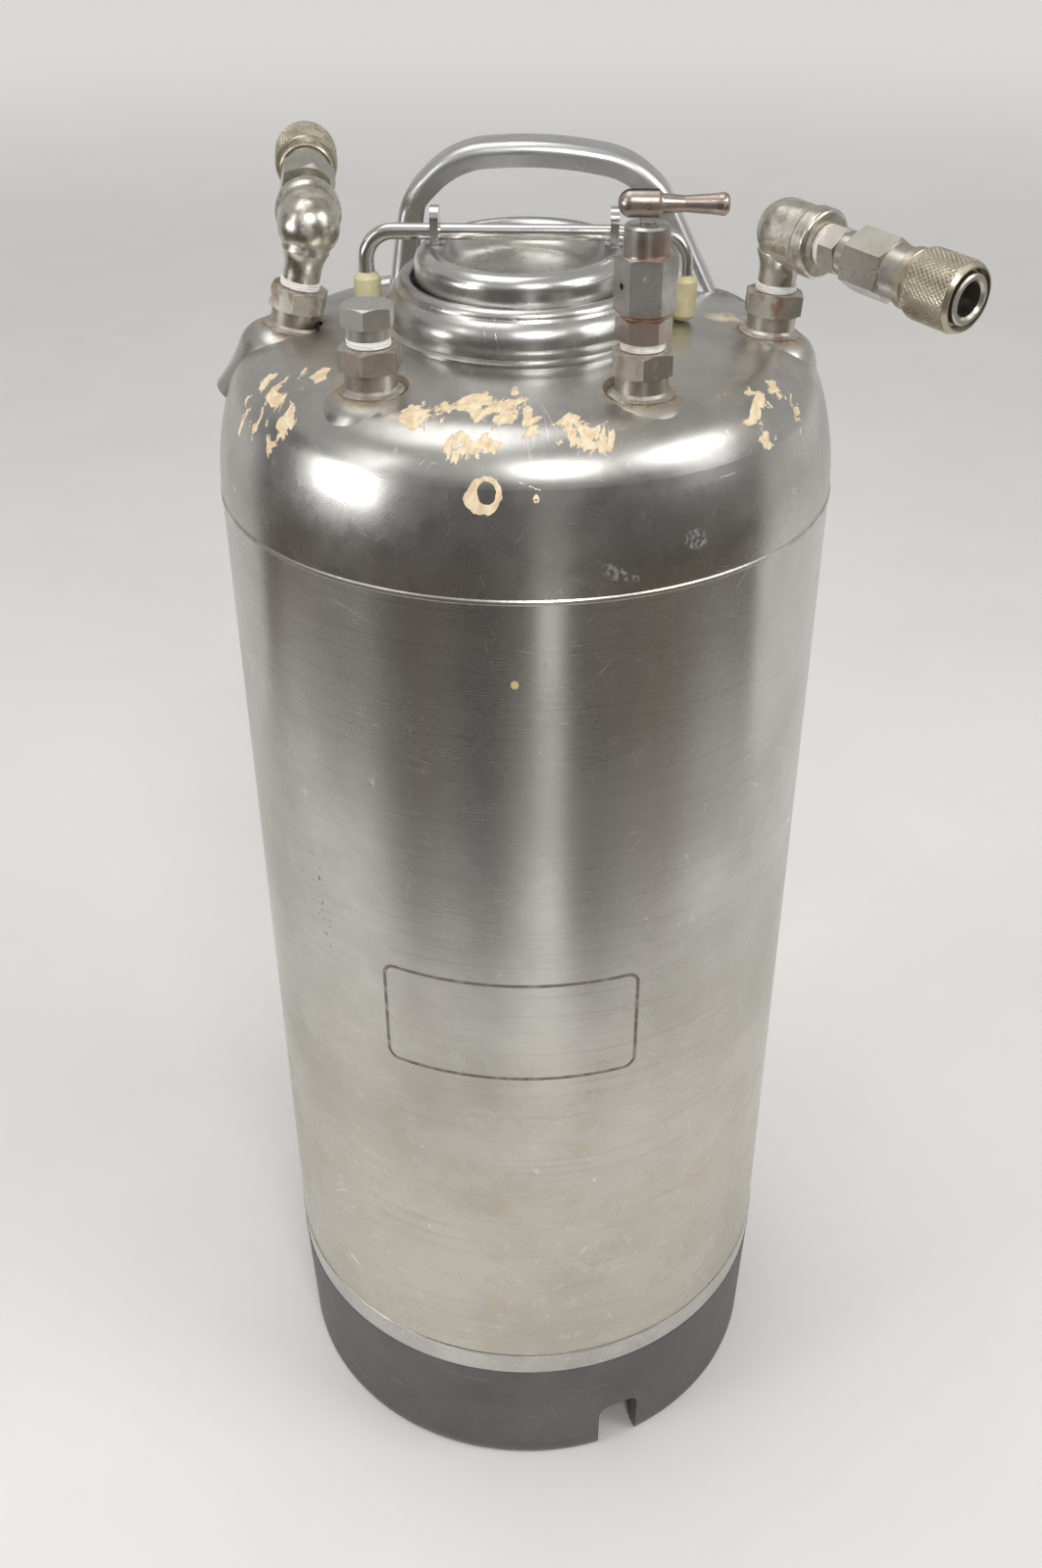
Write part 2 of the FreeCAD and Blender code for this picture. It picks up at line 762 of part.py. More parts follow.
def round_edges(body, name, sketch, count, depth, bend):
    """Rounds the long edges at both sides of a pad, along the first lines of its outline."""
    lines = [sketch.Shape.Edges[index] for index in range(count)]
    middle = lines[0].Vertexes[0].Y
    chosen = []
    for index, edge in enumerate(body.Tip.Shape.Edges, start=1):
        ends = (edge.FirstParameter, edge.LastParameter, (edge.FirstParameter + edge.LastParameter) / 2.0)
        spots = [edge.valueAt(end) for end in ends]
        if any(abs(abs(spot.y - middle) - depth.number / 2.0) > 0.01 for spot in spots):
            continue
        flat = [Part.Vertex(spot.x, middle, spot.z) for spot in spots]
        if all(min(line.distToShape(spot)[0] for line in lines) < 0.01 for spot in flat):
            chosen.append("Edge%d" % index)
    rounds = body.newObject("PartDesign::Fillet", name)
    rounds.Base = (rounds.BaseFeature or body.Tip, chosen)
    bind(rounds, "Radius", bend)
    doc.recompute()
    return rounds


def handle_channel():
    """Bent channel with its web outwards and its long edges rounded."""
    body = new_body("handle_channel")
    middle = s.handle_front + s.handle_depth / 2.0
    back = Placement(Vector(0, 0, -middle.number), Rotation())
    outside = rounded_path(edge_inside(0.0))
    inside = rounded_path(edge_inside(s.handle_flange.number))
    web = rounded_path(edge_inside(s.handle_sheet.number))
    below = [(point.x, point.y) for point, bend in edge_inside(s.handle_flange.number + 6.0)]
    band = outline(body, "band_outline", "XZ_Plane", outside + reversed_path(inside), back)
    pad(body, "band", band, s.handle_depth, both=True)
    round_edges(body, "band_rounds", band, len(outside) - 1, s.handle_depth, s.handle_round)
    gutter = outline(body, "gutter_outline", "XZ_Plane", web + below[::-1], back)
    pocket(body, "gutter", gutter, s.handle_depth - 2.0 * s.handle_sheet, both=True)
    return body


def carry_handle():
    """Channel behind the mouth, welded to the head by two tabs."""
    body = new_body("carry_handle")
    inset = s.handle_sheet
    for name, start, end in (("right_tab", s.handle_right, s.handle_right + s.tab_length),
                             ("left_tab", s.handle_left - s.tab_length * 0.6, s.handle_left + 4.0)):
        tab = outline(body, name + "_outline", "XY_Plane", [
            (start, s.handle_front + inset), (end, s.handle_front + 3.0 * inset),
            (end, s.handle_front + s.handle_depth - 3.0 * inset),
            (start, s.handle_front + s.handle_depth - inset)],
            raised(s.tab_bottom))
        lift(tab, s.tab_bottom)
        pad(body, name, tab, s.lip_top - s.tab_bottom)
    outer = head_corners(-s.handle_sheet)
    crown = outer[3][2]
    start_slope = s.crown_slope / 2.0
    start = crown * sine(start_slope)
    above_skin = [
        (start, outer[4][1] - crown * (1.0 - cosine(start_slope)), -crown),
        (outer[3][0], outer[3][1], -outer[2][2]), (outer[2][0], outer[2][1], -outer[1][2]),
        (outer[1][0], outer[1][1]), (200.0, outer[1][1]), (200.0, 600.0), (start, 600.0)]
    turn(body, "tab_skin", above_skin, "PartDesign::Groove")
    joined = body.newObject("PartDesign::Boolean", "joined")
    joined.setObjects([handle_channel()])
    joined.Type = "Fuse"
    doc.recompute()
    turn(body, "seat", head_corners(0.0), "PartDesign::Groove")
    return body


def lid_corners(offset, start):
    """Lid's upper face at a distance below it, from the flat middle out over the rim."""
    outer = -s.lid_gap - offset
    bend = s.rim_bend - offset
    middle = -s.lid_gap - s.rim_bend
    slope = cosine(s.rim_slope)
    hollow = (s.lid_crown - s.lid_floor) / (1.0 - slope) - s.rim_bend
    flat = middle - (hollow + s.rim_bend) * sine(s.rim_slope)
    valley = hollow + offset
    centre = s.lid_crown - s.rim_bend
    join = (middle - bend * sine(s.rim_slope), centre + bend * slope)
    return [(flat - start, s.lid_floor - offset), (flat, s.lid_floor - offset, valley),
            (join[0], join[1], -bend), (outer, centre)]


def lid_plate():
    """Dished oval plate with a rolled rim; its flange seals under the neck's lip."""
    body = new_body("lid_plate")
    upper = lid_corners(as_size(0.0), 3.0)
    lower = lid_corners(s.lid_sheet, 3.0)
    flange_top = s.lip_top - s.lip_thickness - s.gasket_play - s.gasket_height
    flange_low = flange_top - s.lid_sheet
    inside = -s.lid_gap - s.lid_sheet
    back = [lower[3], (lower[2][0], lower[2][1]), (lower[1][0], lower[1][1]), lower[0]]
    corners = upper + [
        (-s.lid_gap, flange_top), (s.flange_reach, flange_top), (s.flange_reach, flange_low),
        (inside, flange_low),
        (back[0][0], back[0][1], s.rim_bend - s.lid_sheet),
        (back[1][0], back[1][1], -lower[1][2]),
        (back[2][0], back[2][1]), (back[3][0], back[3][1]),
    ]
    swept_oval(body, "rim", corners, s.lid_floor)
    flat = -(upper[1][0]) + 0.6
    floor = ellipse(body, "floor_outline", "XY_Plane", s.mouth_half_width - flat, s.mouth_half_length - flat,
                    raised(s.lid_floor))
    lift(floor, s.lid_floor)
    pad(body, "floor", floor, s.lid_sheet, back=True)
    # Weld pads that carry the two ears
    top = s.lid_crown + s.weld_pad_proud
    for side in (-1.0, 1.0):
        half = s.weld_pad_width / 2.0
        reach = s.weld_pad_length / 2.0
        middle = side * s.ear_offset
        weld = outline(body, "weld_pad_outline", "XY_Plane",
                       [(middle - half, -reach), (middle + half, -reach), (middle + half, reach),
                        (middle - half, reach)], raised(top))
        lift(weld, top)
        pad(body, "weld_pad", weld, 2.6, back=True)
    return body


def lid_gasket():
    body = new_body("lid_gasket")
    top = s.lip_top - s.lip_thickness - s.gasket_play
    low = top - s.gasket_height
    round_off = 1.4
    inner = 0.0 - s.lid_gap + 0.1
    outer = inner + s.gasket_reach
    swept_oval(body, "ring", [
        (inner, low), (outer - round_off, low, round_off), (outer, low + round_off),
        (outer, top - round_off, round_off), (outer - round_off, top), (inner + round_off, top, round_off),
        (inner, top - round_off)], low)
    return body


def lid_ear(name, side):
    """Upright ear with a rounded head that carries the bail's crossbar."""
    body = new_body(name)
    low = s.lid_crown + s.weld_pad_proud
    half = s.ear_width / 2.0
    face = outline(body, "face_outline", "YZ_Plane", [
        (-half, low), (half, low), (half, ear_top - half, half), (0.0, ear_top, half),
        (-half, ear_top - half)])
    pad(body, "sheet", face, s.ear_sheet, both=True)
    hole = circle(body, "hole_outline", "YZ_Plane", s.bail_rod + s.bail_play, y=bail_height)
    pocket(body, "hole", hole, 20.0, both=True)
    body.setExpression("Placement.Base.x", (side * s.ear_offset).formula)
    return body


def bail_rod():
    """Round rod: a crossbar through both ears with a leg bent down at each end."""
    body = new_body("bail_rod")
    low = foot_bottom + s.foot_floor
    leg = s.bail_leg
    bend = s.bail_bend
    top = bail_height
    path = outline(body, "path", "XZ_Plane", [
        (-leg, low), (-leg, top - bend, -bend), (bend - leg, top), (leg - bend, top, -bend),
        (leg, top - bend), (leg, low)], closed=False)
    section = circle(body, "section", "XY_Plane", s.bail_rod, raised(low), x=-leg)
    lift(section, low)
    rod = body.newObject("PartDesign::AdditivePipe", "rod")
    rod.Profile = section
    rod.Spine = (path, ["Edge%d" % (index + 1) for index in range(5)])
    rod.Mode = "Frenet"
    doc.recompute()
    return body


def bail_foot(name, side):
    """Plastic foot pushed on the end of a bail leg."""
    top = s.foot_length
    bore = s.bail_rod + 0.05
    body = turned(name, [
        (0.0, 0.0), (s.foot_radius - s.foot_chamfer, 0.0), (s.foot_radius, s.foot_chamfer),
        (s.foot_radius, top - 2.0), (s.foot_radius - 1.4, top), (bore, top), (bore, s.foot_floor),
        (0.0, s.foot_floor)])
    body.setExpression("Placement.Base.x", (side * s.bail_leg).formula)
    body.setExpression("Placement.Base.z", foot_bottom.formula)
    return body


def hex_plug():
    """Solid plug: thread, round neck, hexagonal head."""
    body = new_body("hex_plug", FRONT_LEFT)
    shoulder = tape_top + s.plug_neck_height
    turn(body, "shank", [(0.0, s.bore_floor), (thread_radius, s.bore_floor), (thread_radius, tape_top),
                         (s.plug_neck, tape_top), (s.plug_neck, shoulder + 0.5), (0.0, shoulder + 0.5)])
    hexagon(body, "head", s.plug_hex, shoulder, s.plug_hex_height, 34.0)
    return body


# Heights of the relief valve above its seat
adapter_top = tape_top + s.adapter_height
washer_top = adapter_top + s.washer_height
valve_hex_top = washer_top + s.valve_hex_height
collar_top = valve_hex_top + s.collar_height
chamber_floor = washer_top + s.valve_floor
chamber_roof = collar_top - s.valve_roof
lever_axis = collar_top + s.lever_height


def valve_adapter():
    body = new_body("valve_adapter", VALVE)
    turn(body, "shank", [(0.0, s.bore_floor), (thread_radius, s.bore_floor), (thread_radius, tape_top + 0.5),
                         (0.0, tape_top + 0.5)])
    hexagon(body, "flats", s.adapter_hex, tape_top, s.adapter_height)
    turn(body, "bore", [(0.0, 0.0), (3.0, 0.0), (3.0, adapter_top + 1.0), (0.0, adapter_top + 1.0)],
         "PartDesign::Groove")
    return body


def valve_washer():
    edge = 0.3
    body = turned("valve_washer", [
        (3.4, 0.0), (s.washer_radius - edge, 0.0), (s.washer_radius, edge),
        (s.washer_radius, s.washer_height - edge), (s.washer_radius - edge, s.washer_height),
        (3.4, s.washer_height)])
    body.Placement = above(VALVE, adapter_top)
    return body


def valve_body():
    """Long hexagon and collar, bored for the piston and its spring, with a small vent."""
    body = new_body("valve_body", VALVE)
    turn(body, "core", [(0.0, washer_top), (s.collar_radius, washer_top), (s.collar_radius, collar_top - 0.8),
                        (s.collar_radius - 0.8, collar_top), (0.0, collar_top)])
    hexagon(body, "flats", s.valve_hex, washer_top, s.valve_hex_height)
    rod = s.stem_radius + s.stem_play
    turn(body, "bore", [(0.0, washer_top - 1.0), (2.2, washer_top - 1.0), (2.2, chamber_floor),
                        (s.valve_bore, chamber_floor), (s.valve_bore, chamber_roof), (rod, chamber_roof),
                        (rod, collar_top + 1.0), (0.0, collar_top + 1.0)], "PartDesign::Groove")
    vent_height = chamber_floor + s.seal_height + s.piston_height + 2.6
    facet = Placement(Vector(0, 0, 0), Rotation(Vector(0, 1, 0), s.vent_turn.number))
    vent = circle(body, "vent_outline", "YZ_Plane", s.vent_radius, facet, y=vent_height)
    pocket(body, "vent", vent, s.valve_hex)
    return body


def valve_stem():
    """Piston, rod and the flat tongue that the lever's pin goes through."""
    body = new_body("valve_stem", VALVE)
    low = chamber_floor + s.seal_height
    shoulder = low + s.piston_height
    root = collar_top + 1.0
    turn(body, "rod", [(0.0, low), (s.piston_radius, low), (s.piston_radius, shoulder),
                       (s.stem_radius, shoulder), (s.stem_radius, root), (0.0, root)])
    half = s.tongue_width / 2.0
    tongue = outline(body, "tongue_outline", "XZ_Plane", [
        (-half, root - 0.6), (half, root - 0.6), (half, lever_axis, half), (0.0, lever_axis + half, half),
        (-half, lever_axis)])
    pad(body, "tongue", tongue, s.tongue_sheet, both=True)
    # Flats that let the lever's tail pass once the stem is up
    flat = lever_axis - s.lever_tail - s.lever_radius - 0.4
    face = s.tongue_sheet / 2.0
    for side, name in ((-1.0, "front_flat"), (1.0, "back_flat")):
        box = outline(body, name + "_outline", "YZ_Plane", [
            (side * face, flat), (side * s.stem_radius * 2.0, flat), (side * s.stem_radius * 2.0, root + 0.2),
            (side * face, root + 0.2)][::int(side)])
        pocket(body, name, box, s.stem_radius * 4.0, both=True)
    hole = circle(body, "hole_outline", "XZ_Plane", s.pin_radius + 0.04, y=lever_axis)
    pocket(body, "hole", hole, 20.0, both=True)
    return body


def valve_seal():
    body = turned("valve_seal", [
        (0.0, 0.0), (s.piston_radius - 0.3, 0.0), (s.piston_radius - 0.3, s.seal_height),
                                 (0.0, s.seal_height)])
    body.Placement = above(VALVE, chamber_floor)
    return body


def valve_spring():
    """Coil between the piston and the chamber's roof."""
    low = chamber_floor + s.seal_height + s.piston_height
    wire = s.spring_wire
    reach = (s.valve_bore + s.stem_radius) / 2.0
    rise = chamber_roof - low - 2.0 * wire
    path = doc.addObject("Part::Helix", "spring_path")
    bind(path, "Radius", reach)
    bind(path, "Pitch", rise / s.spring_turns)
    bind(path, "Height", rise)
    path.Placement = Placement(Vector(0, 0, 0), Rotation())
    section = doc.addObject("Part::Circle", "spring_section")
    bind(section, "Radius", wire)
    section.Placement = Placement(Vector(reach.number, 0, 0), Rotation(Vector(1, 0, 0), 90.0))
    coil = doc.addObject("Part::Sweep", "valve_spring")
    coil.Sections = [section]
    coil.Spine = (path, [])
    coil.Solid = True
    coil.Frenet = True
    coil.Label = "valve_spring"
    coil.Placement = above(VALVE, low + wire)
    doc.recompute()
    return coil


def lever_frame():
    """Origin at the lever's pin, Z along its arm, Y along the pin."""
    spot = above(VALVE, lever_axis).Base
    return Placement(spot, Rotation(Vector(0, 1, 0), 90.0))


def toggle_lever():
    """Barrel with a slotted round tail and a waisted arm, turned in one piece."""
    body = new_body("toggle_lever", lever_frame())
    tail = s.lever_tail
    radius = s.lever_radius
    end = s.lever_length
    turn(body, "turned", [
        (0.0, -tail - radius, radius), (radius, -tail), (radius, s.lever_shoulder - 0.8),
        (radius - 0.8, s.lever_shoulder), (s.lever_neck + 0.6, s.lever_shoulder + 0.6),
        (s.lever_neck, s.lever_shoulder + 7.0), (s.lever_tip - 0.3, end - 4.0), (s.lever_tip, end - 2.0, 2.0),
        (s.lever_tip - 1.6, end), (0.0, end)])
    half = radius + 1.0
    slot = outline(body, "slot_outline", "XZ_Plane", [
        (-half, -tail - half), (half, -tail - half), (half, s.slot_end), (-half, s.slot_end)])
    pocket(body, "slot", slot, s.tongue_sheet + 2.0 * s.slot_play, both=True)
    hole = circle(body, "hole_outline", "XZ_Plane", s.pin_radius + s.pin_play)
    pocket(body, "hole", hole, 20.0, both=True)
    return body


def toggle_pin():
    body = new_body("toggle_pin", lever_frame())
    section = circle(body, "section", "XZ_Plane", s.pin_radius)
    pad(body, "pin", section, s.pin_length, both=True)
    return body


def outlet_frame(elbow, droop):
    """Origin at the elbow's middle, Z along its outlet."""
    return elbow.multiply(Placement(Vector(0, 0, 0), Rotation(Vector(0, 1, 0), 90.0 + droop)))


LEFT_ELBOW = above(LEFT, s.left_rise, s.left_turn - 180.0)
RIGHT_ELBOW = above(RIGHT, s.right_rise, s.right_turn)
LEFT_OUTLET = outlet_frame(LEFT_ELBOW, s.left_droop.number)
RIGHT_OUTLET = outlet_frame(RIGHT_ELBOW, s.right_droop.number)


def elbow(name, frame, rise, droop, start):
    """Cast street elbow: threaded leg down, banded socket sideways."""
    body = new_body(name, frame)
    flare_radius = s.leg_radius + s.flare_bend * (1.0 - cosine(s.flare_angle))
    flare_top = s.flare_bend * sine(s.flare_angle) - s.flare_bottom
    leg = [(0.0, start - rise), (thread_radius, start - rise), (thread_radius, tape_top - rise),
           (s.leg_radius, tape_top - rise), (s.leg_radius, -s.flare_bottom, -s.flare_bend),
           (flare_radius, flare_top), (s.leg_radius, 0.0), (0.0, 0.0)]
    turn(body, "leg", leg)
    side = Placement(Vector(0, 0, 0), Rotation(Vector(0, 0, 1), -90.0 - as_size(droop).number))
    heel = s.elbow_radius
    band = s.band_radius
    rim = s.band_round
    turn(body, "barrel", [
        (0.0, s.heel_offset - heel, heel), (heel, s.heel_offset), (heel, s.band_start),
        (band, s.band_start + rim), (band, s.elbow_length - rim, rim), (band - rim, s.elbow_length),
        (0.0, s.elbow_length)], shift=side)
    deep = s.elbow_length - s.socket_depth
    turn(body, "socket_bore", [
        (0.0, 0.0), (s.water_way, 0.0), (s.water_way, deep), (s.bore_radius, deep),
        (s.bore_radius, s.elbow_length + 1.0), (0.0, s.elbow_length + 1.0)], "PartDesign::Groove", side)
    turn(body, "leg_bore", [(0.0, start - rise - 1.0), (s.water_way - 0.2, start - rise - 1.0),
                            (s.water_way - 0.2, 0.0), (0.0, 0.0)], "PartDesign::Groove")
    return body


# Distances along an outlet from the elbow's middle
nipple_start = s.elbow_length + s.tape_height
nipple_flat_end = nipple_start + s.nipple_hex_length
nipple_end = nipple_flat_end + s.nipple_length
stub_end = nipple_end + s.nipple_stub
hex_end = nipple_end + s.coupler_hex_length
neck_end = hex_end + s.coupler_neck_length
mouth_end = neck_end + s.nose_length
sleeve_start = hex_end + s.sleeve_gap
land_start = sleeve_start + s.land_start
land_end = land_start + s.land_length


def nipple(name, frame):
    body = new_body(name, frame)
    low = s.elbow_length - s.socket_depth
    turn(body, "core", [
        (0.0, low), (thread_radius, low), (thread_radius, nipple_start), (s.nipple_round, nipple_start),
        (s.nipple_round, nipple_end), (s.mouth_radius, nipple_end), (s.mouth_radius, stub_end),
        (0.0, stub_end)])
    hexagon(body, "flats", s.nipple_hex, nipple_start, s.nipple_hex_length, 15.0)
    turn(body, "bore", [(0.0, low - 1.0), (3.2, low - 1.0), (3.2, stub_end + 1.0), (0.0, stub_end + 1.0)],
         "PartDesign::Groove")
    return body


def coupler_body(name, frame):
    """Quick coupler's body: hexagon, neck and the barrel that the sleeve slides on."""
    body = new_body(name, frame)
    edge = 0.6
    turn(body, "barrel", [
        (0.0, nipple_end), (s.coupler_neck, nipple_end), (s.coupler_neck, neck_end),
        (s.barrel_radius, neck_end), (s.barrel_radius, mouth_end - edge), (s.barrel_radius - edge, mouth_end),
        (0.0, mouth_end)])
    hexagon(body, "flats", s.coupler_hex, nipple_end, s.coupler_hex_length, 0.0, top_bevel=True)
    throat = mouth_end - s.mouth_depth
    seal_start = throat + 3.0
    seal_end = seal_start + s.seal_section
    lip = throat - 3.0
    turn(body, "bore", [
        (0.0, nipple_end - 1.0), (s.mouth_radius + 0.1, nipple_end - 1.0), (s.mouth_radius + 0.1, stub_end),
        (3.2, stub_end), (3.2, hex_end), (s.chamber_radius, hex_end), (s.chamber_radius, lip),
        (3.4, lip), (3.4, throat), (s.mouth_radius, throat), (s.mouth_radius, seal_start),
        (s.mouth_radius + 1.0, seal_start), (s.mouth_radius + 1.0, seal_end), (s.mouth_radius, seal_end),
        (s.mouth_radius, mouth_end - 1.0), (s.mouth_radius + 0.9, mouth_end + 0.1), (0.0, mouth_end + 0.1)],
        "PartDesign::Groove")
    return body


def coupler_sleeve(name, frame):
    """Knurled sleeve that is pulled back to let a plug go."""
    body = new_body(name, frame)
    end = sleeve_start + s.sleeve_length
    collar = s.sleeve_collar
    outer = s.sleeve_radius
    inner = s.coupler_neck + s.sleeve_play
    turn(body, "sleeve", [
        (inner, sleeve_start), (collar - 0.5, sleeve_start), (collar, sleeve_start + 0.5),
        (collar, sleeve_start + 3.2), (collar - 0.5, sleeve_start + 3.6), (collar - 0.5, sleeve_start + 4.4),
        (outer - 0.4, sleeve_start + 5.0), (outer, sleeve_start + 5.6), (outer, end - 1.4),
        (outer - 1.0, end),
        (collar - 0.3, end), (collar - 0.3, land_end), (s.barrel_radius + s.sleeve_play, land_end),
        (s.barrel_radius + s.sleeve_play, land_start), (inner, land_start - 1.4)])
    return body


def retaining_ring(name, frame):
    """Ring on the barrel that stops the sleeve's land."""
    ring_low = land_end + 0.05
    body = turned(name, [
        (s.barrel_radius + 0.03, ring_low), (s.ring_radius, ring_low),
        (s.ring_radius, ring_low + s.ring_width),
        (s.barrel_radius + 0.03, ring_low + s.ring_width)], frame)
    return body


def poppet(name, frame):
    """Spring-loaded poppet that closes the coupler when no plug is in it."""
    lip = mouth_end - s.mouth_depth - 3.0
    head = lip - 0.05
    nose = mouth_end - s.mouth_depth + 2.0
    return turned(name, [
        (0.0, hex_end + 0.5), (s.poppet_stem, hex_end + 0.5), (s.poppet_stem, head - 2.6),
        (s.poppet_head, head - 2.0), (s.poppet_head, head), (s.poppet_nose, head),
        (s.poppet_nose, nose - 1.2), (s.poppet_nose - 1.2, nose),
        (0.0, nose)], frame)


def mouth_seal(name, frame):
    seal_start = mouth_end - s.mouth_depth + 3.0
    inner = s.mouth_radius - 0.3
    outer = s.mouth_radius + 0.95
    return turned(name, [(inner, seal_start), (outer, seal_start), (outer, seal_start + s.seal_section),
                         (inner, seal_start + s.seal_section)], frame)


def outlet(side, frame, elbow_place, rise, droop, outlet_place, start):
    """Everything screwed into a side port."""
    return [
        elbow(side + "_elbow", elbow_place, rise, droop, start),
        thread_tape(side + "_elbow_tape", frame, boss_top),
        thread_tape(side + "_nipple_tape", outlet_place, s.elbow_length),
        nipple(side + "_nipple", outlet_place),
        coupler_body(side + "_coupler_body", outlet_place),
        coupler_sleeve(side + "_coupler_sleeve", outlet_place),
        retaining_ring(side + "_retaining_ring", outlet_place),
        poppet(side + "_poppet", outlet_place),
        mouth_seal(side + "_mouth_seal", outlet_place),
    ]


pieces = [
    top_head(),
    shell(),
    bottom_head(),
    seam_weld("upper_seam_weld", s.upper_seam),
    seam_weld("lower_seam_weld", s.lower_seam),
    base_boot(),
    port_boss("left_boss", LEFT),
    port_boss("front_left_boss", FRONT_LEFT),
    port_boss("front_right_boss", FRONT_RIGHT),
    port_boss("right_boss", RIGHT),
    dip_tube(),
    carry_handle(),
    lid_plate(),
    lid_gasket(),
    lid_ear("lid_ear_left", -1.0),
    lid_ear("lid_ear_right", 1.0),
    bail_rod(),
    bail_foot("bail_foot_left", -1.0),
    bail_foot("bail_foot_right", 1.0),
    thread_tape("plug_tape", FRONT_LEFT, boss_top),
    hex_plug(),
    thread_tape("valve_tape", VALVE, boss_top),
    valve_adapter(),
    valve_washer(),
    valve_body(),
    valve_stem(),
    valve_seal(),
    valve_spring(),
    toggle_lever(),
    toggle_pin(),
]
pieces += outlet("left", LEFT, LEFT_ELBOW, s.left_rise, s.left_droop, LEFT_OUTLET, s.bore_floor)
pieces += outlet("right", RIGHT, RIGHT_ELBOW, s.right_rise, s.right_droop, RIGHT_OUTLET,
                 s.bore_floor + s.tube_flange)

doc.recompute()
for item in doc.Objects:
    if "Invalid" in item.State or "Error" in item.State:
        raise RuntimeError(item.Name + " failed: " + str(item.State))

os.makedirs("parts", exist_ok=True)
for piece in pieces:
    shape = piece.Shape
    if shape.isNull() or not shape.isValid() or not shape.Solids:
        raise RuntimeError(piece.Label + " has no valid solid")
    shape.exportStep("parts/" + piece.Label + ".step")
    print(piece.Label, len(shape.Solids), round(shape.Volume, 1))
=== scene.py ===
import json
import math

import bpy
from mathutils import Matrix, Vector


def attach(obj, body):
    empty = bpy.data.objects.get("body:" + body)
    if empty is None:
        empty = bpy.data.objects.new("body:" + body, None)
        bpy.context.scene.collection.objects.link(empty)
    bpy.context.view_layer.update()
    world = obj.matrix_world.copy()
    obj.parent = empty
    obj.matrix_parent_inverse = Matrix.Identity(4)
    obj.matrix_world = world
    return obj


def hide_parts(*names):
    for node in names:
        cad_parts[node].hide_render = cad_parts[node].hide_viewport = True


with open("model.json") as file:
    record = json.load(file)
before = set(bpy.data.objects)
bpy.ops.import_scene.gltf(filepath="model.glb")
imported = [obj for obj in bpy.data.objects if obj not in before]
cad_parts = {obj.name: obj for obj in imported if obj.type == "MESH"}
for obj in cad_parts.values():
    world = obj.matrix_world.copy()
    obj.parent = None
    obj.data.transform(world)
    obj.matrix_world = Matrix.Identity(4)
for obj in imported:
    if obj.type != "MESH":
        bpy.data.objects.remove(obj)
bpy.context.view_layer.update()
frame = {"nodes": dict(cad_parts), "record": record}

# Stainless steel pressure tank: brushed steel, rubber boot, oval lid, carry handle and fittings.

nodes_by_name = frame["nodes"]
SHELL_RADIUS = 0.1143

# Empty frame of the old print, in the unrolled side: middle, half size, corner radius, line width
PRINT_CENTRE = (-0.0012, 0.2725, 0.0)
PRINT_HALF = (0.0505, 0.0238, 0.0)
PRINT_CORNER = 0.0048
PRINT_LINE = 0.00075

# Soft edge of the valve's copper bands
BAND_EDGE = 0.002


class Nodes:
    """Adds nodes to one tree and links them."""

    def __init__(self, tree):
        self.tree = tree

    def feed(self, socket, value):
        if isinstance(value, bpy.types.NodeSocket):
            self.tree.links.new(value, socket)
        else:
            socket.default_value = value

    def add(self, kind, feeds=None, **settings):
        node = self.tree.nodes.new(kind)
        for name, value in settings.items():
            setattr(node, name, value)
        for socket, value in (feeds or {}).items():
            self.feed(node.inputs[socket], value)
        return node

    def maths(self, operation, first, second=0.5, clamp=False):
        feeds = {0: first, 1: second}
        return self.add("ShaderNodeMath", feeds, operation=operation, use_clamp=clamp).outputs[0]

    def times(self, first, second):
        return self.maths("MULTIPLY", first, second)

    def plus(self, first, second, clamp=False):
        return self.maths("ADD", first, second, clamp)

    def minus(self, first, second, clamp=False):
        return self.maths("SUBTRACT", first, second, clamp)

    def most(self, first, second):
        return self.maths("MAXIMUM", first, second)

    def least(self, first, second):
        return self.maths("MINIMUM", first, second)

    def vector(self, operation, first, second=(0.0, 0.0, 0.0)):
        made = self.add("ShaderNodeVectorMath", {0: first, 1: second}, operation=operation)
        return made.outputs["Value" if operation in ("LENGTH", "DOT_PRODUCT") else "Vector"]

    def ramp(self, value, low, high, start=0.0, end=1.0, smooth=True):
        feeds = {"Value": value, "From Min": low, "From Max": high, "To Min": start, "To Max": end}
        kind = "SMOOTHSTEP" if smooth else "LINEAR"
        return self.add("ShaderNodeMapRange", feeds, interpolation_type=kind).outputs["Result"]

    def mix(self, amount, first, second):
        return self.add("ShaderNodeMix", {0: amount, 6: first, 7: second}, data_type="RGBA").outputs[2]

    def blend(self, amount, first, second):
        return self.add("ShaderNodeMix", {0: amount, 2: first, 3: second}, data_type="FLOAT").outputs[0]

    def noise(self, place, scale, detail=3.0, roughness=0.55, distortion=0.0):
        feeds = {"Vector": place, "Scale": scale, "Detail": detail, "Roughness": roughness,
                 "Distortion": distortion}
        return self.add("ShaderNodeTexNoise", feeds).outputs["Fac"]

    def moved(self, place, shift=(0.0, 0.0, 0.0), turn=(0.0, 0.0, 0.0), scale=(1.0, 1.0, 1.0)):
        feeds = {"Vector": place, "Location": shift, "Rotation": turn, "Scale": scale}
        return self.add("ShaderNodeMapping", feeds).outputs["Vector"]

    def spun(self, place, angle):
        made = self.add("ShaderNodeVectorRotate", {"Vector": place, "Angle": angle}, rotation_type="Z_AXIS")
        return made.outputs[0]

    def point(self, across, along, height=0.0):
        return self.add("ShaderNodeCombineXYZ", {0: across, 1: along, 2: height}).outputs[0]

    def parts(self, place):
        return self.add("ShaderNodeSeparateXYZ", {0: place}).outputs

    def group(self, tree, feeds):
        node = self.tree.nodes.new("ShaderNodeGroup")
        node.node_tree = tree
        for socket, value in feeds.items():
            self.feed(node.inputs[socket], value)
        return node


def rgb(red, green, blue):
    return (red, green, blue, 1.0)


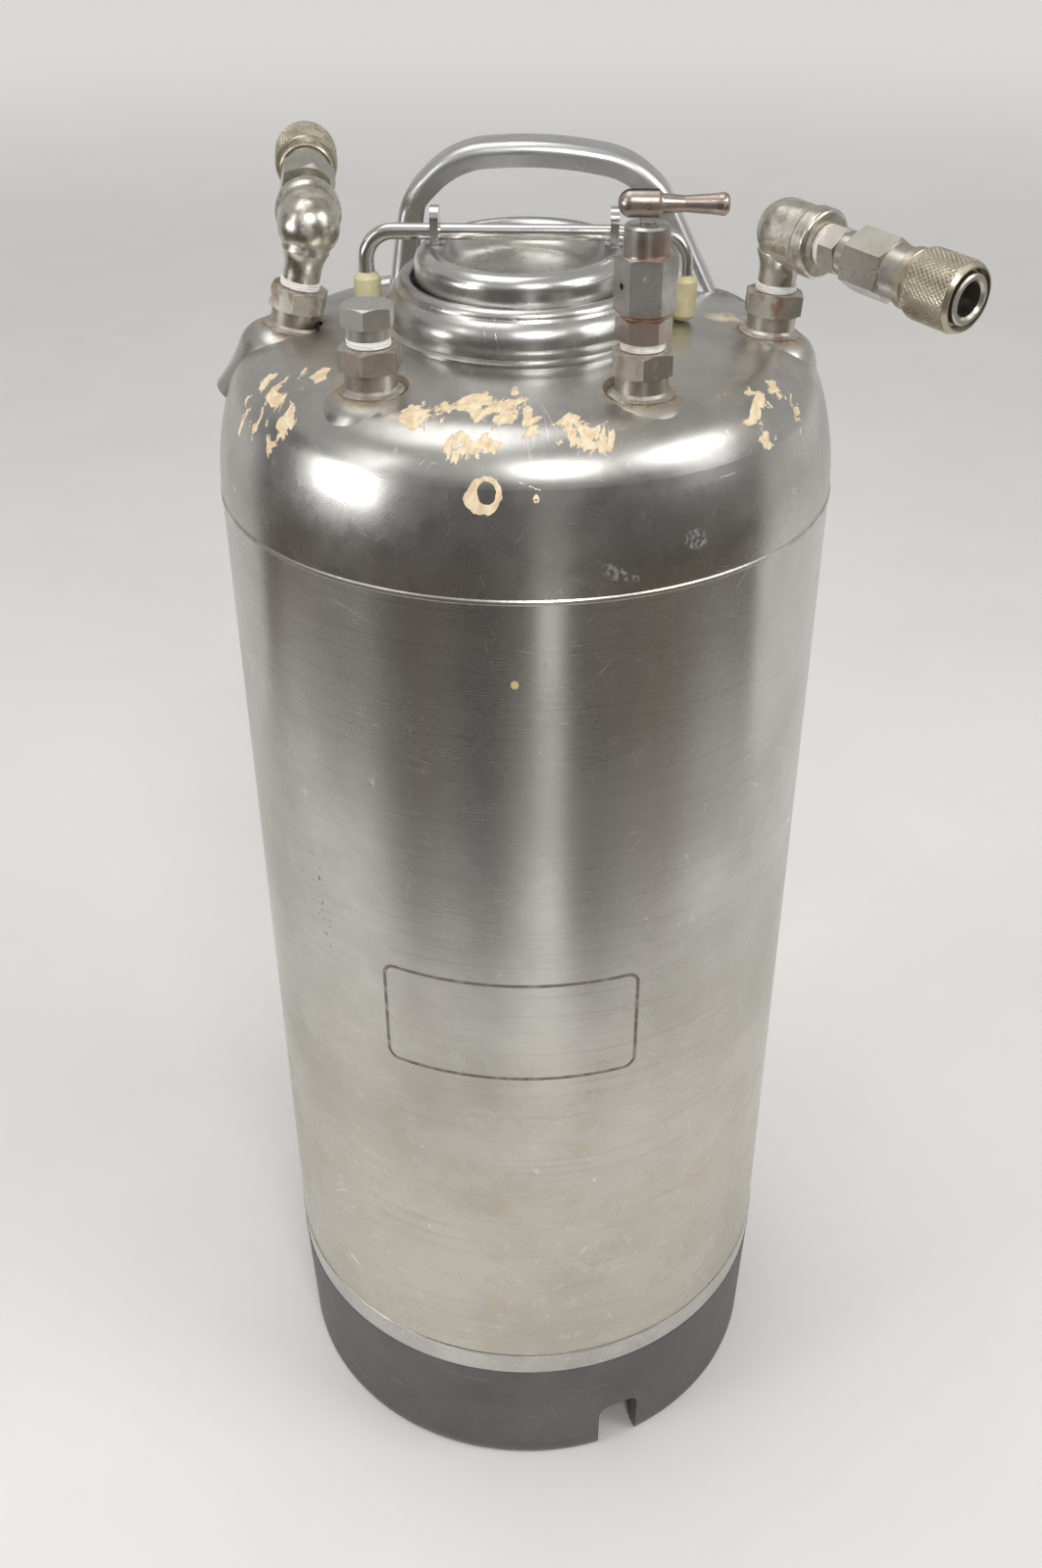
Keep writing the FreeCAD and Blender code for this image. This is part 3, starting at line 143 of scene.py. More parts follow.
def shader_group(name, inputs, outputs):
    """New shader node group with its named sockets; gives its nodes, inputs and output node."""
    kinds = {"value": "NodeSocketFloat", "vector": "NodeSocketVector", "colour": "NodeSocketColor"}
    tree = bpy.data.node_groups.new(name, "ShaderNodeTree")
    for label, kind, default in inputs:
        socket = tree.interface.new_socket(label, in_out="INPUT", socket_type=kinds[kind])
        if default is not None:
            socket.default_value = default
    for label, kind in outputs:
        tree.interface.new_socket(label, in_out="OUTPUT", socket_type=kinds[kind])
    entry = tree.nodes.new("NodeGroupInput")
    leave = tree.nodes.new("NodeGroupOutput")
    return tree, Nodes(tree), entry.outputs, leave.inputs


def wrapped_group():
    """Unrolls the tank's side: arc length from the front, height, and distance from the axis."""
    tree, n, given, out = shader_group("unrolled side", [("Vector", "vector", None)],
                                       [("Wrapped", "vector"), ("Height", "value"), ("Radius", "value")])
    parts = n.parts(given["Vector"])
    front = n.times(parts["Y"], -1.0)
    arc = n.times(n.maths("ARCTAN2", parts["X"], front), SHELL_RADIUS)
    flat = n.point(arc, parts["Z"])
    level = n.point(parts["X"], parts["Y"])
    n.feed(out["Wrapped"], flat)
    n.feed(out["Height"], parts["Z"])
    n.feed(out["Radius"], n.vector("LENGTH", level))
    return tree


def window_group():
    """Soft-edged oval window in two dimensions."""
    tree, n, given, out = shader_group(
        "oval window",
        [("Vector", "vector", None), ("Centre", "vector", None), ("Size", "vector", (1.0, 1.0, 1.0)),
         ("Turn", "value", 0.0), ("Soft", "value", 0.4)],
        [("Mask", "value")])
    shift = n.vector("SUBTRACT", given["Vector"], given["Centre"])
    level = n.vector("MULTIPLY", shift, (1.0, 1.0, 0.0))
    turned = n.spun(level, given["Turn"])
    reach = n.vector("LENGTH", n.vector("DIVIDE", turned, given["Size"]))
    inner = n.minus(1.0, given["Soft"])
    n.feed(out["Mask"], n.ramp(reach, 1.0, inner))
    return tree


def scratch_group():
    """Thin scratches in three directions, broken up in patches."""
    tree, n, given, out = shader_group(
        "scratches",
        [("Vector", "vector", None), ("Scale", "value", 60.0), ("Amount", "value", 0.5),
         ("Width", "value", 0.004)],
        [("Mask", "value")])
    total = None
    for angle, shift in ((0.25, 0.0), (1.25, 3.1), (2.3, 7.7)):
        turned = n.moved(given["Vector"], (shift, shift, shift), (0.0, 0.0, angle))
        stretched = n.vector("MULTIPLY", turned, (0.11, 1.0, 1.0))
        field = n.noise(stretched, given["Scale"], 1.0, 0.4)
        line = n.maths("ABSOLUTE", n.minus(field, 0.5))
        thin = n.ramp(line, given["Width"], 0.0)
        patch = n.ramp(n.noise(turned, n.times(given["Scale"], 0.55), 3.0), 0.60, 0.68)
        scratch = n.times(thin, patch)
        total = scratch if total is None else n.most(total, scratch)
    n.feed(out["Mask"], n.times(total, given["Amount"]))
    return tree


def residue_group():
    """Torn flakes of dry paper and glue, jagged at their edges."""
    tree, n, given, out = shader_group(
        "glue residue", [("Vector", "vector", None), ("Scale", "value", 100.0), ("Window", "value", 1.0)],
        [("Mask", "value"), ("Colour", "colour")])
    field = n.noise(given["Vector"], given["Scale"], 6.0, 0.6, 0.6)
    lifted = n.plus(field, n.times(n.minus(given["Window"], 1.0), 0.3))
    mask = n.ramp(lifted, 0.475, 0.495)
    tone = n.noise(given["Vector"], n.times(given["Scale"], 3.0), 4.0)
    n.feed(out["Mask"], n.times(mask, n.ramp(given["Window"], 0.0, 0.2)))
    n.feed(out["Colour"], n.mix(n.ramp(tone, 0.3, 0.7), rgb(0.62, 0.47, 0.29), rgb(0.80, 0.68, 0.48)))
    return tree


def spot_group():
    """Scattered small spots."""
    tree, n, given, out = shader_group(
        "scattered spots",
        [("Vector", "vector", None), ("Scale", "value", 30.0), ("Size", "value", 0.08),
         ("Share", "value", 0.3)],
        [("Mask", "value")])
    cells = n.add("ShaderNodeTexVoronoi", {"Vector": given["Vector"], "Scale": given["Scale"]})
    wobble = n.noise(given["Vector"], n.times(given["Scale"], 9.0), 2.0)
    reach = n.plus(cells.outputs["Distance"], n.times(wobble, n.times(given["Size"], 0.8)))
    dot = n.ramp(reach, n.times(given["Size"], 1.4), n.times(given["Size"], 0.9))
    pick = n.add("ShaderNodeSeparateColor", {0: cells.outputs["Color"]}).outputs[0]
    n.feed(out["Mask"], n.times(dot, n.maths("LESS_THAN", pick, given["Share"])))
    return tree


def frame_line_group():
    """Line of a rounded rectangle."""
    tree, n, given, out = shader_group(
        "rounded frame",
        [("Vector", "vector", None), ("Centre", "vector", None), ("Half", "vector", (0.05, 0.02, 0.0)),
         ("Corner", "value", 0.005), ("Line", "value", 0.0005)],
        [("Mask", "value")])
    side = n.vector("ABSOLUTE", n.vector("SUBTRACT", given["Vector"], given["Centre"]))
    corner = n.point(given["Corner"], given["Corner"])
    past = n.vector("SUBTRACT", side, n.vector("SUBTRACT", given["Half"], corner))
    outside = n.vector("LENGTH", n.vector("MULTIPLY", n.vector("MAXIMUM", past), (1.0, 1.0, 0.0)))
    parts = n.parts(past)
    inside = n.least(n.most(parts["X"], parts["Y"]), 0.0)
    reach = n.minus(n.plus(outside, inside), given["Corner"])
    line = n.maths("ABSOLUTE", reach)
    n.feed(out["Mask"], n.ramp(line, n.times(given["Line"], 1.3), n.times(given["Line"], 0.7)))
    return tree


WRAPPED = wrapped_group()
WINDOW = window_group()
SCRATCHES = scratch_group()
RESIDUE = residue_group()
SPOTS = spot_group()
FRAME_LINE = frame_line_group()


def new_finish(name, metallic=1.0, **sockets):
    """New material with its nodes, its Principled BSDF and the object's own coordinates."""
    finish = bpy.data.materials.new(name)
    finish.use_nodes = True
    n = Nodes(finish.node_tree)
    surface = finish.node_tree.nodes["Principled BSDF"]
    surface.inputs["Metallic"].default_value = metallic
    for socket, value in sockets.items():
        surface.inputs[socket.replace("_", " ")].default_value = value
    place = n.add("ShaderNodeTexCoord").outputs["Object"]
    return finish, n, surface, place


def bump(n, surface, height, strength, distance):
    made = n.add("ShaderNodeBump", {"Height": height, "Strength": strength, "Distance": distance})
    n.feed(surface.inputs["Normal"], made.outputs["Normal"])
    return made


def all_masks(n, masks):
    total = masks[0]
    for mask in masks[1:]:
        total = n.most(total, mask)
    return total


def window(n, place, centre, size, turn=0.0, soft=0.5):
    feeds = {"Vector": place, "Centre": centre + (0.0,), "Size": size + (1.0,), "Turn": turn, "Soft": soft}
    return n.group(WINDOW, feeds).outputs["Mask"]


def scratches(n, place, scale, amount, width):
    feeds = {"Vector": place, "Scale": scale, "Amount": amount, "Width": width}
    return n.group(SCRATCHES, feeds).outputs["Mask"]


def shell_steel():
    """Sheet brushed round the shell, worn and stained, with the empty frame of the old print; towards the
    bottom a painted reflection of the warm floor.
    """
    finish, n, surface, place = new_finish("shell steel", Anisotropic=0.7, Anisotropic_Rotation=0.25)
    side = n.group(WRAPPED, {"Vector": place}).outputs
    flat = side["Wrapped"]
    tangent = n.add("ShaderNodeTangent", direction_type="RADIAL", axis="Z").outputs[0]
    n.feed(surface.inputs["Tangent"], tangent)
    fine = n.noise(n.vector("MULTIPLY", flat, (22.0, 2600.0, 1.0)), 1.0, 3.0, 0.7)
    coarse = n.noise(n.vector("MULTIPLY", flat, (9.0, 500.0, 1.0)), 1.0, 3.0, 0.6)
    cloud = n.noise(place, 9.0, 5.0, 0.62)
    mottle = n.noise(place, 55.0, 5.0, 0.7)
    scratch = scratches(n, flat, 75.0, 0.9, 0.0035)
    hair = scratches(n, n.moved(flat, (2.0, 5.0, 0.0), (0.0, 0.0, 0.9)), 240.0, 0.6, 0.006)
    # Mask for the lower shell, where a painted reflection of the warm pale floor goes into the colour
    low = n.ramp(side["Height"], 0.36, 0.12)
    steel = n.mix(n.ramp(cloud, 0.35, 0.68), rgb(0.61, 0.595, 0.575), rgb(0.51, 0.495, 0.465))
    # Yellow patches and tint low down: partly real stains, partly painted reflection of the warm floor
    stain = n.times(n.times(n.ramp(mottle, 0.48, 0.66), low), 0.55)
    yellow_stain_and_painted_reflection = n.mix(n.most(stain, n.times(low, 0.30)), steel, rgb(0.61, 0.535, 0.37))
    # Pale patches low down: painted reflection of the pale floor
    pale = n.times(n.ramp(n.noise(place, 130.0, 3.0), 0.60, 0.70), n.times(low, 0.45))
    tone = n.mix(pale, yellow_stain_and_painted_reflection, rgb(0.72, 0.70, 0.66))
    grimy = n.mix(n.times(n.ramp(coarse, 0.50, 0.75), 0.35), tone, rgb(0.40, 0.38, 0.35))
    spots = n.group(SPOTS, {"Vector": flat, "Scale": 24.0, "Size": 0.045, "Share": 0.32}).outputs[0]
    ticks = n.times(window(n, flat, (-0.083, 0.315), (0.0045, 0.026), -0.13, 0.2),
                    n.ramp(n.noise(n.moved(flat, turn=(0.0, 0.0, 0.6)), 420.0, 1.0), 0.62, 0.68))
    dirt = n.times(all_masks(n, [spots, ticks]), 0.8)
    dirty = n.mix(dirt, grimy, rgb(0.10, 0.09, 0.075))
    tan = window(n, flat, (0.0018, 0.4267), (0.0016, 0.0018), 0.0, 0.4)
    spotted = n.mix(tan, dirty, rgb(0.62, 0.47, 0.22))
    print_frame = {"Vector": flat, "Centre": PRINT_CENTRE, "Half": PRINT_HALF, "Corner": PRINT_CORNER,
                   "Line": PRINT_LINE}
    print_line = n.group(FRAME_LINE, print_frame).outputs["Mask"]
    worn = n.ramp(n.noise(flat, 210.0, 4.0), 0.72, 0.42, 0.55, 0.95)
    ink = n.times(print_line, worn)
    coloured = n.mix(ink, spotted, rgb(0.13, 0.105, 0.075))
    bright = n.mix(n.most(scratch, hair), coloured, rgb(0.86, 0.84, 0.80))
    n.feed(surface.inputs["Base Color"], bright)
    covered = n.most(n.most(ink, tan), n.times(dirt, 0.7))
    n.feed(surface.inputs["Metallic"], n.ramp(covered, 0.0, 1.0, 1.0, 0.25))
    rough = n.plus(n.ramp(cloud, 0.3, 0.7, 0.17, 0.27), n.times(fine, 0.08))
    rough = n.plus(rough, n.times(n.plus(stain, pale), 0.12))
    n.feed(surface.inputs["Roughness"], n.plus(rough, n.times(covered, 0.25), clamp=True))
    relief = n.plus(n.times(fine, 0.8), n.times(coarse, 0.5))
    relief = n.plus(relief, n.times(n.noise(place, 17.0, 1.0), 8.0))
    relief = n.minus(relief, n.times(n.most(scratch, hair), 0.9))
    bump(n, surface, relief, 0.35, 0.00006)
    return finish


PORT_SPOTS = [(-0.0845, 0.0), (-0.0471, -0.0680), (0.0409, -0.0681), (0.0880, 0.0)]


def head_steel():
    """Drawn head: cloudy satin, scratches, glue residue, heat tint round the bosses, a bright neck."""
    finish, n, surface, place = new_finish("head steel")
    side = n.group(WRAPPED, {"Vector": place}).outputs
    flat = side["Wrapped"]
    cloud = n.noise(place, 14.0, 5.0, 0.62)
    mottle = n.noise(place, 75.0, 5.0, 0.68)
    fine = n.noise(n.vector("MULTIPLY", place, (900.0, 900.0, 1400.0)), 1.0, 3.0, 0.6)
    neck = n.ramp(side["Radius"], 0.066, 0.055)
    crown = n.times(n.ramp(side["Radius"], 0.113, 0.100), n.minus(1.0, neck))
    scratch = scratches(n, flat, 90.0, 0.9, 0.004)
    etched = scratches(n, n.moved(place, turn=(0.0, 0.0, 0.7)), 170.0, 0.8, 0.006)
    rubbed = scratches(n, n.moved(flat, (3.0, 1.0, 0.0), (0.0, 0.0, 1.1)), 210.0, 0.7, 0.010)
    lines = n.most(n.most(scratch, rubbed), n.times(etched, crown))
    steel = n.mix(n.ramp(cloud, 0.34, 0.70), rgb(0.62, 0.61, 0.585), rgb(0.46, 0.45, 0.425))
    dull = n.mix(n.times(n.ramp(mottle, 0.46, 0.66), n.times(crown, 0.35)), steel,
                 rgb(0.40, 0.38, 0.34))
    # Heat tint and old rust round the four bosses
    tints = [window(n, place, spot, (0.0165, 0.0165), 0.0, 0.42) for spot in PORT_SPOTS]
    heat = n.times(all_masks(n, tints), n.ramp(mottle, 0.32, 0.60))
    tinted = n.mix(n.times(heat, 0.8), dull, rgb(0.52, 0.40, 0.23))
    rust_spots = [window(n, place, spot, (0.0140, 0.0140), 0.0, 0.20) for spot in PORT_SPOTS]
    rust = n.times(all_masks(n, rust_spots), n.ramp(n.noise(place, 190.0, 5.0, 0.7), 0.43, 0.58))
    rusty = n.mix(n.times(rust, 0.85), tinted, rgb(0.17, 0.085, 0.045))
    scuffs = [window(n, flat, (0.0345, 0.4655), (0.006, 0.0030), 0.5, 0.6),
              window(n, flat, (0.0635, 0.4720), (0.006, 0.0042), 0.2, 0.6),
              window(n, flat, (0.0400, 0.4630), (0.004, 0.0016), 0.3, 0.6)]
    scuff = n.times(all_masks(n, scuffs), n.ramp(n.noise(flat, 620.0, 3.0), 0.46, 0.58))
    scuffed = n.mix(n.times(scuff, 0.8), rusty, rgb(0.08, 0.08, 0.09))
    patches = [
        ((-0.0850, -0.0530), (0.0200, 0.0150), 0.6),
        ((-0.0760, -0.0680), (0.0150, 0.0120), 0.3),
        ((-0.0700, -0.0500), (0.0110, 0.0130), -0.4),
        ((-0.0270, -0.0850), (0.0150, 0.0140), 0.1),
        ((-0.0060, -0.0820), (0.0190, 0.0190), 0.0),
        ((0.0130, -0.0900), (0.0190, 0.0160), 0.3),
        ((0.0260, -0.0940), (0.0110, 0.0150), -0.2),
        ((-0.0130, -0.0990), (0.0130, 0.0080), 0.0),
        ((0.0780, -0.0620), (0.0150, 0.0150), 0.5),
        ((0.0900, -0.0480), (0.0110, 0.0110), 0.5),
    ]
    windows = [window(n, place, centre, size, turn, 0.6) for centre, size, turn in patches]
    ring = n.minus(window(n, flat, (-0.0082, 0.4905), (0.0072, 0.0072), 0.0, 0.30),
                   window(n, flat, (-0.0072, 0.4915), (0.0036, 0.0040), 0.0, 0.45), clamp=True)
    drops = window(n, flat, (0.0090, 0.4900), (0.0016, 0.0022), 0.0, 0.5)
    radial = n.spun(place, 0.35)
    torn = n.group(RESIDUE, {"Vector": n.vector("MULTIPLY", radial, (1.6, 0.8, 1.0)), "Scale": 95.0,
                             "Window": all_masks(n, windows)}).outputs
    loop = n.group(RESIDUE, {"Vector": flat, "Scale": 160.0,
                             "Window": n.times(n.most(ring, drops), 1.35)}).outputs
    smear = n.times(window(n, place, (0.0750, 0.0130), (0.0150, 0.0080), -0.5, 0.6),
                    n.ramp(n.noise(place, 160.0, 3.0), 0.40, 0.58))
    glue = n.most(n.most(torn["Mask"], loop["Mask"]), n.times(smear, 0.8))
    bright = n.mix(lines, scuffed, rgb(0.85, 0.83, 0.80))
    coloured = n.mix(glue, bright, torn["Colour"])
    n.feed(surface.inputs["Base Color"], coloured)
    cover = n.most(glue, n.times(n.most(rust, scuff), 0.8))
    n.feed(surface.inputs["Metallic"], n.ramp(cover, 0.0, 1.0, 1.0, 0.0))
    rough = n.plus(n.ramp(mottle, 0.3, 0.7, 0.235, 0.30), n.times(crown, 0.05))
    rough = n.plus(rough, n.times(neck, 0.03))
    rough = n.plus(rough, n.times(n.most(cover, heat), 0.45), clamp=True)
    n.feed(surface.inputs["Roughness"], rough)
    relief = n.plus(n.times(fine, 0.10), n.times(glue, 1.6))
    relief = n.plus(relief, n.times(n.noise(place, 24.0, 1.0), n.times(crown, 7.0)))
    relief = n.minus(relief, n.times(lines, 0.4))
    bump(n, surface, relief, 0.5, 0.00012)
    return finish


def weld_steel():
    """Smoothed weld bead with its fine cross ripple."""
    finish, n, surface, place = new_finish("seam weld steel")
    flat = n.group(WRAPPED, {"Vector": place}).outputs["Wrapped"]
    ripple = n.noise(n.vector("MULTIPLY", flat, (520.0, 300.0, 1.0)), 1.0, 3.0, 0.6)
    cloud = n.noise(place, 60.0, 4.0, 0.6)
    tone = n.mix(n.ramp(cloud, 0.35, 0.7), rgb(0.66, 0.64, 0.60), rgb(0.46, 0.43, 0.38))
    n.feed(surface.inputs["Base Color"], tone)
    n.feed(surface.inputs["Roughness"], n.ramp(cloud, 0.3, 0.7, 0.26, 0.42))
    bump(n, surface, ripple, 0.5, 0.0002)
    return finish


def boot_rubber():
    """Charcoal rubber with scuffs, dust and a few pale rubs."""
    finish, n, surface, place = new_finish("boot rubber", metallic=0.0, Specular_IOR_Level=0.45)
    side = n.group(WRAPPED, {"Vector": place}).outputs
    flat = side["Wrapped"]
    cloud = n.noise(place, 26.0, 5.0, 0.65)
    pores = n.noise(place, 900.0, 3.0, 0.7)
    rub = n.ramp(n.noise(n.vector("MULTIPLY", flat, (26.0, 120.0, 1.0)), 1.0, 4.0, 0.65), 0.58, 0.72)
    scratch = scratches(n, flat, 80.0, 0.7, 0.006)
    black = n.group(SPOTS, {"Vector": flat, "Scale": 34.0, "Size": 0.09, "Share": 0.25}).outputs[0]
    tone = n.mix(n.ramp(cloud, 0.34, 0.68), rgb(0.070, 0.069, 0.067), rgb(0.112, 0.110, 0.105))
    rubbed = n.mix(n.times(rub, 0.5), tone, rgb(0.17, 0.165, 0.155))
    spotted = n.mix(n.times(black, 0.7), rubbed, rgb(0.030, 0.029, 0.028))
    scratched = n.mix(n.times(scratch, 0.5), spotted, rgb(0.26, 0.25, 0.24))
    foot = n.times(n.ramp(side["Height"], 0.006, 0.001), 0.6)
    n.feed(surface.inputs["Base Color"], n.mix(foot, scratched, rgb(0.20, 0.19, 0.175)))
    n.feed(surface.inputs["Roughness"], n.ramp(cloud, 0.3, 0.7, 0.42, 0.60))
    relief = n.plus(n.times(pores, 0.5), n.times(scratch, -0.6))
    bump(n, surface, relief, 0.25, 0.0002)
    return finish


def plain_steel(name, light, dark, rough, stain=0.0, stain_colour=(0.24, 0.13, 0.07),
                grain=(400.0, 400.0, 400.0), relief=0.15, blot=170.0):
    """Bright or machined steel for small pieces: grain, cloudy tone, scratches and stains."""
    finish, n, surface, place = new_finish(name)
    cloud = n.noise(place, blot * 0.4, 4.0, 0.6)
    fine = n.noise(n.vector("MULTIPLY", place, grain), 1.0, 3.0, 0.6)
    scratch = scratches(n, n.moved(place, turn=(0.9, 0.3, 0.0)), 260.0, 0.6, 0.008)
    tone = n.mix(n.ramp(cloud, 0.32, 0.70), rgb(*light), rgb(*dark))
    blots = n.noise(n.vector("MULTIPLY", place, (1.0, 1.0, 0.55)), blot, 5.0, 0.65)
    blots = n.ramp(blots, 0.62 - 0.22 * stain, 0.70)
    stained = n.mix(n.times(blots, min(stain * 1.4, 0.9)), tone, rgb(*stain_colour))
    n.feed(surface.inputs["Base Color"], n.mix(scratch, stained, rgb(0.80, 0.78, 0.75)))
    n.feed(surface.inputs["Metallic"], n.ramp(n.times(blots, stain), 0.0, 1.0, 1.0, 0.35))
    worn = n.plus(n.ramp(cloud, 0.3, 0.7, rough, rough + 0.12), n.times(blots, stain * 0.35))
    n.feed(surface.inputs["Roughness"], n.plus(worn, n.times(fine, 0.06), clamp=True))
    bump(n, surface, fine, relief, 0.00015)
    return finish


def lid_steel():
    """Lid: polished rolled rim, duller dished middle with a faint haze."""
    finish, n, surface, place = new_finish("lid steel")
    level = n.vector("LENGTH", n.vector("MULTIPLY", place, (1.0, 0.88, 0.0)))
    rim = n.ramp(level, 0.0262, 0.0300)
    cloud = n.noise(place, 60.0, 5.0, 0.65)
    scratch = scratches(n, place, 150.0, 0.8, 0.006)
    middle = n.mix(n.ramp(cloud, 0.32, 0.7), rgb(0.60, 0.58, 0.54), rgb(0.50, 0.48, 0.43))
    polished = n.mix(n.ramp(cloud, 0.3, 0.75), rgb(0.70, 0.70, 0.69), rgb(0.60, 0.59, 0.57))
    tone = n.mix(rim, middle, polished)
    n.feed(surface.inputs["Base Color"], n.mix(n.times(scratch, 0.6), tone, rgb(0.85, 0.84, 0.82)))
    dull = n.ramp(cloud, 0.3, 0.7, 0.20, 0.32)
    n.feed(surface.inputs["Roughness"], n.blend(rim, dull, 0.25))
    bump(n, surface, n.noise(place, 700.0, 3.0), 0.10, 0.0001)
    return finish


def heat_steel(name, cool, warm, dark, bands=(), rough=0.28):
    """Heat-tinted steel of the relief valve; bands are heights where the copper tone is strong."""
    finish, n, surface, place = new_finish(name)
    height = n.parts(place)["Z"]
    cloud = n.noise(place, 95.0, 4.0, 0.6)
    fine = n.noise(place, 620.0, 4.0, 0.65)
    tone = n.mix(n.ramp(cloud, 0.40, 0.66), rgb(*cool), rgb(*dark))
    spread = [n.times(n.ramp(height, low - BAND_EDGE, low), n.ramp(height, high + BAND_EDGE, high))
              for low, high in bands]
    amount = all_masks(n, spread) if spread else 0.75
    warmth = n.times(amount, n.ramp(n.noise(place, 150.0, 4.0), 0.28, 0.56))
    tinted = n.mix(warmth, tone, rgb(*warm))
    rust = n.ramp(n.noise(place, 230.0, 5.0, 0.7), 0.60, 0.68)
    n.feed(surface.inputs["Base Color"], n.mix(n.times(rust, 0.5), tinted, rgb(0.17, 0.095, 0.06)))
    n.feed(surface.inputs["Metallic"], n.ramp(rust, 0.0, 1.0, 1.0, 0.5))
    n.feed(surface.inputs["Roughness"], n.plus(n.ramp(cloud, 0.3, 0.7, rough, rough + 0.14),
                                                n.times(rust, 0.25), clamp=True))
    bump(n, surface, fine, 0.2, 0.0001)
    return finish


def cast_steel():
    """Tumbled casting: soft lumps, rough patches and brown shadows."""
    finish, n, surface, place = new_finish("cast steel")
    lumps = n.noise(place, 160.0, 3.0, 0.5)
    pits = n.noise(place, 900.0, 4.0, 0.7)
    patch = n.ramp(n.noise(place, 75.0, 3.0), 0.52, 0.60)
    tone = n.mix(n.ramp(lumps, 0.3, 0.7), rgb(0.74, 0.71, 0.64), rgb(0.54, 0.51, 0.44))
    shade = n.ramp(n.noise(place, 120.0, 5.0, 0.7), 0.50, 0.66)
    brown = n.mix(n.times(shade, 0.55), tone, rgb(0.30, 0.24, 0.16))
    n.feed(surface.inputs["Base Color"], brown)
    n.feed(surface.inputs["Roughness"], n.ramp(n.plus(patch, n.times(pits, 0.3)), 0.0, 1.3, 0.28, 0.50))
    relief = n.plus(n.times(lumps, 1.2), n.times(pits, n.ramp(patch, 0.0, 1.0, 0.08, 0.7)))
    bump(n, surface, relief, 0.5, 0.0003)
    return finish


def foot_plastic():
    """Aged cream plastic, a little grubby."""
    finish, n, surface, place = new_finish("foot plastic", metallic=0.0)
    cloud = n.noise(place, 130.0, 4.0, 0.6)
    tone = n.mix(n.ramp(cloud, 0.3, 0.7), rgb(0.66, 0.60, 0.38), rgb(0.52, 0.45, 0.25))
    grime = n.ramp(n.noise(place, 420.0, 4.0, 0.7), 0.60, 0.72)
    n.feed(surface.inputs["Base Color"], n.mix(n.times(grime, 0.35), tone, rgb(0.20, 0.16, 0.09)))
    n.feed(surface.inputs["Roughness"], n.ramp(cloud, 0.3, 0.7, 0.38, 0.52))
    bump(n, surface, cloud, 0.15, 0.0002)
    return finish


def thread_tape_plastic():
    """White thread tape, browned in places by rust."""
    finish, n, surface, place = new_finish("thread tape", metallic=0.0)
    cloud = n.noise(place, 150.0, 4.0, 0.65)
    tone = n.mix(n.ramp(cloud, 0.46, 0.70), rgb(0.83, 0.82, 0.80), rgb(0.66, 0.56, 0.44))
    n.feed(surface.inputs["Base Color"], tone)
    n.feed(surface.inputs["Roughness"], n.ramp(cloud, 0.3, 0.7, 0.40, 0.60))
    bump(n, surface, n.noise(place, 1500.0, 3.0), 0.2, 0.0001)
    return finish


def dark_rubber(name, tone):
    finish, n, surface, place = new_finish(name, metallic=0.0)
    cloud = n.noise(place, 200.0, 4.0, 0.6)
    dusty = rgb(*[part * 2.0 for part in tone])
    n.feed(surface.inputs["Base Color"], n.mix(n.ramp(cloud, 0.3, 0.7), rgb(*tone), dusty))
    n.feed(surface.inputs["Roughness"], n.ramp(cloud, 0.3, 0.7, 0.45, 0.62))
    bump(n, surface, cloud, 0.15, 0.0002)
    return finish


def knurled_steel():
    """Worn knurl: brown and bright steel tones mixed in cloudy patches."""
    finish, n, surface, place = new_finish("knurled steel")
    cloud = n.noise(place, 120.0, 4.0, 0.6)
    fine = n.noise(place, 1300.0, 3.0, 0.6)
    tone = n.mix(n.ramp(cloud, 0.34, 0.68), rgb(0.60, 0.55, 0.44), rgb(0.43, 0.38, 0.28))
    n.feed(surface.inputs["Base Color"], tone)
    n.feed(surface.inputs["Roughness"], n.ramp(fine, 0.3, 0.7, 0.28, 0.44))
    bump(n, surface, fine, 0.2, 0.0001)
    return finish


FINISHES = {
    "shell_steel": shell_steel(),
    "head_steel": head_steel(),
    "weld_steel": weld_steel(),
    "rubber": boot_rubber(),
    "handle_steel": plain_steel("handle steel", (0.70, 0.705, 0.71), (0.58, 0.58, 0.57), 0.22,
                                grain=(60.0, 1400.0, 1400.0), relief=0.10),
    "lid_steel": lid_steel(),
    "gasket_rubber": dark_rubber("gasket rubber", (0.018, 0.018, 0.018)),
    "bail_steel": plain_steel("bail steel", (0.70, 0.69, 0.68), (0.58, 0.56, 0.53), 0.12,
                              grain=(1200.0, 300.0, 300.0), relief=0.06),
    "foot_plastic": foot_plastic(),
    "boss_steel": plain_steel("boss steel", (0.64, 0.61, 0.55), (0.46, 0.43, 0.37), 0.31, stain=0.65,
                              stain_colour=(0.22, 0.125, 0.07), blot=130.0),
    "plug_steel": plain_steel("plug steel", (0.66, 0.65, 0.62), (0.50, 0.49, 0.45), 0.34, stain=0.2),
    "thread_tape": thread_tape_plastic(),
    "valve_steel": heat_steel("valve steel", (0.62, 0.605, 0.59), (0.52, 0.42, 0.355), (0.44, 0.42, 0.40),
                              bands=((0.527, 0.537), (0.5545, 0.5595))),
    "copper": heat_steel("washer copper", (0.55, 0.40, 0.32), (0.62, 0.38, 0.27), (0.36, 0.23, 0.17)),
    "spring_steel": plain_steel("spring steel", (0.55, 0.55, 0.55), (0.4, 0.4, 0.4), 0.25),
    "cast_steel": cast_steel(),
    "fitting_steel": plain_steel("fitting steel", (0.62, 0.60, 0.56), (0.47, 0.44, 0.38), 0.22, stain=0.2,
                                 stain_colour=(0.33, 0.26, 0.17)),
    "sleeve_steel": knurled_steel(),
}
LEVER_FINISH = heat_steel("lever steel", (0.52, 0.47, 0.43), (0.46, 0.37, 0.32), (0.36, 0.31, 0.28),
                          rough=0.26)

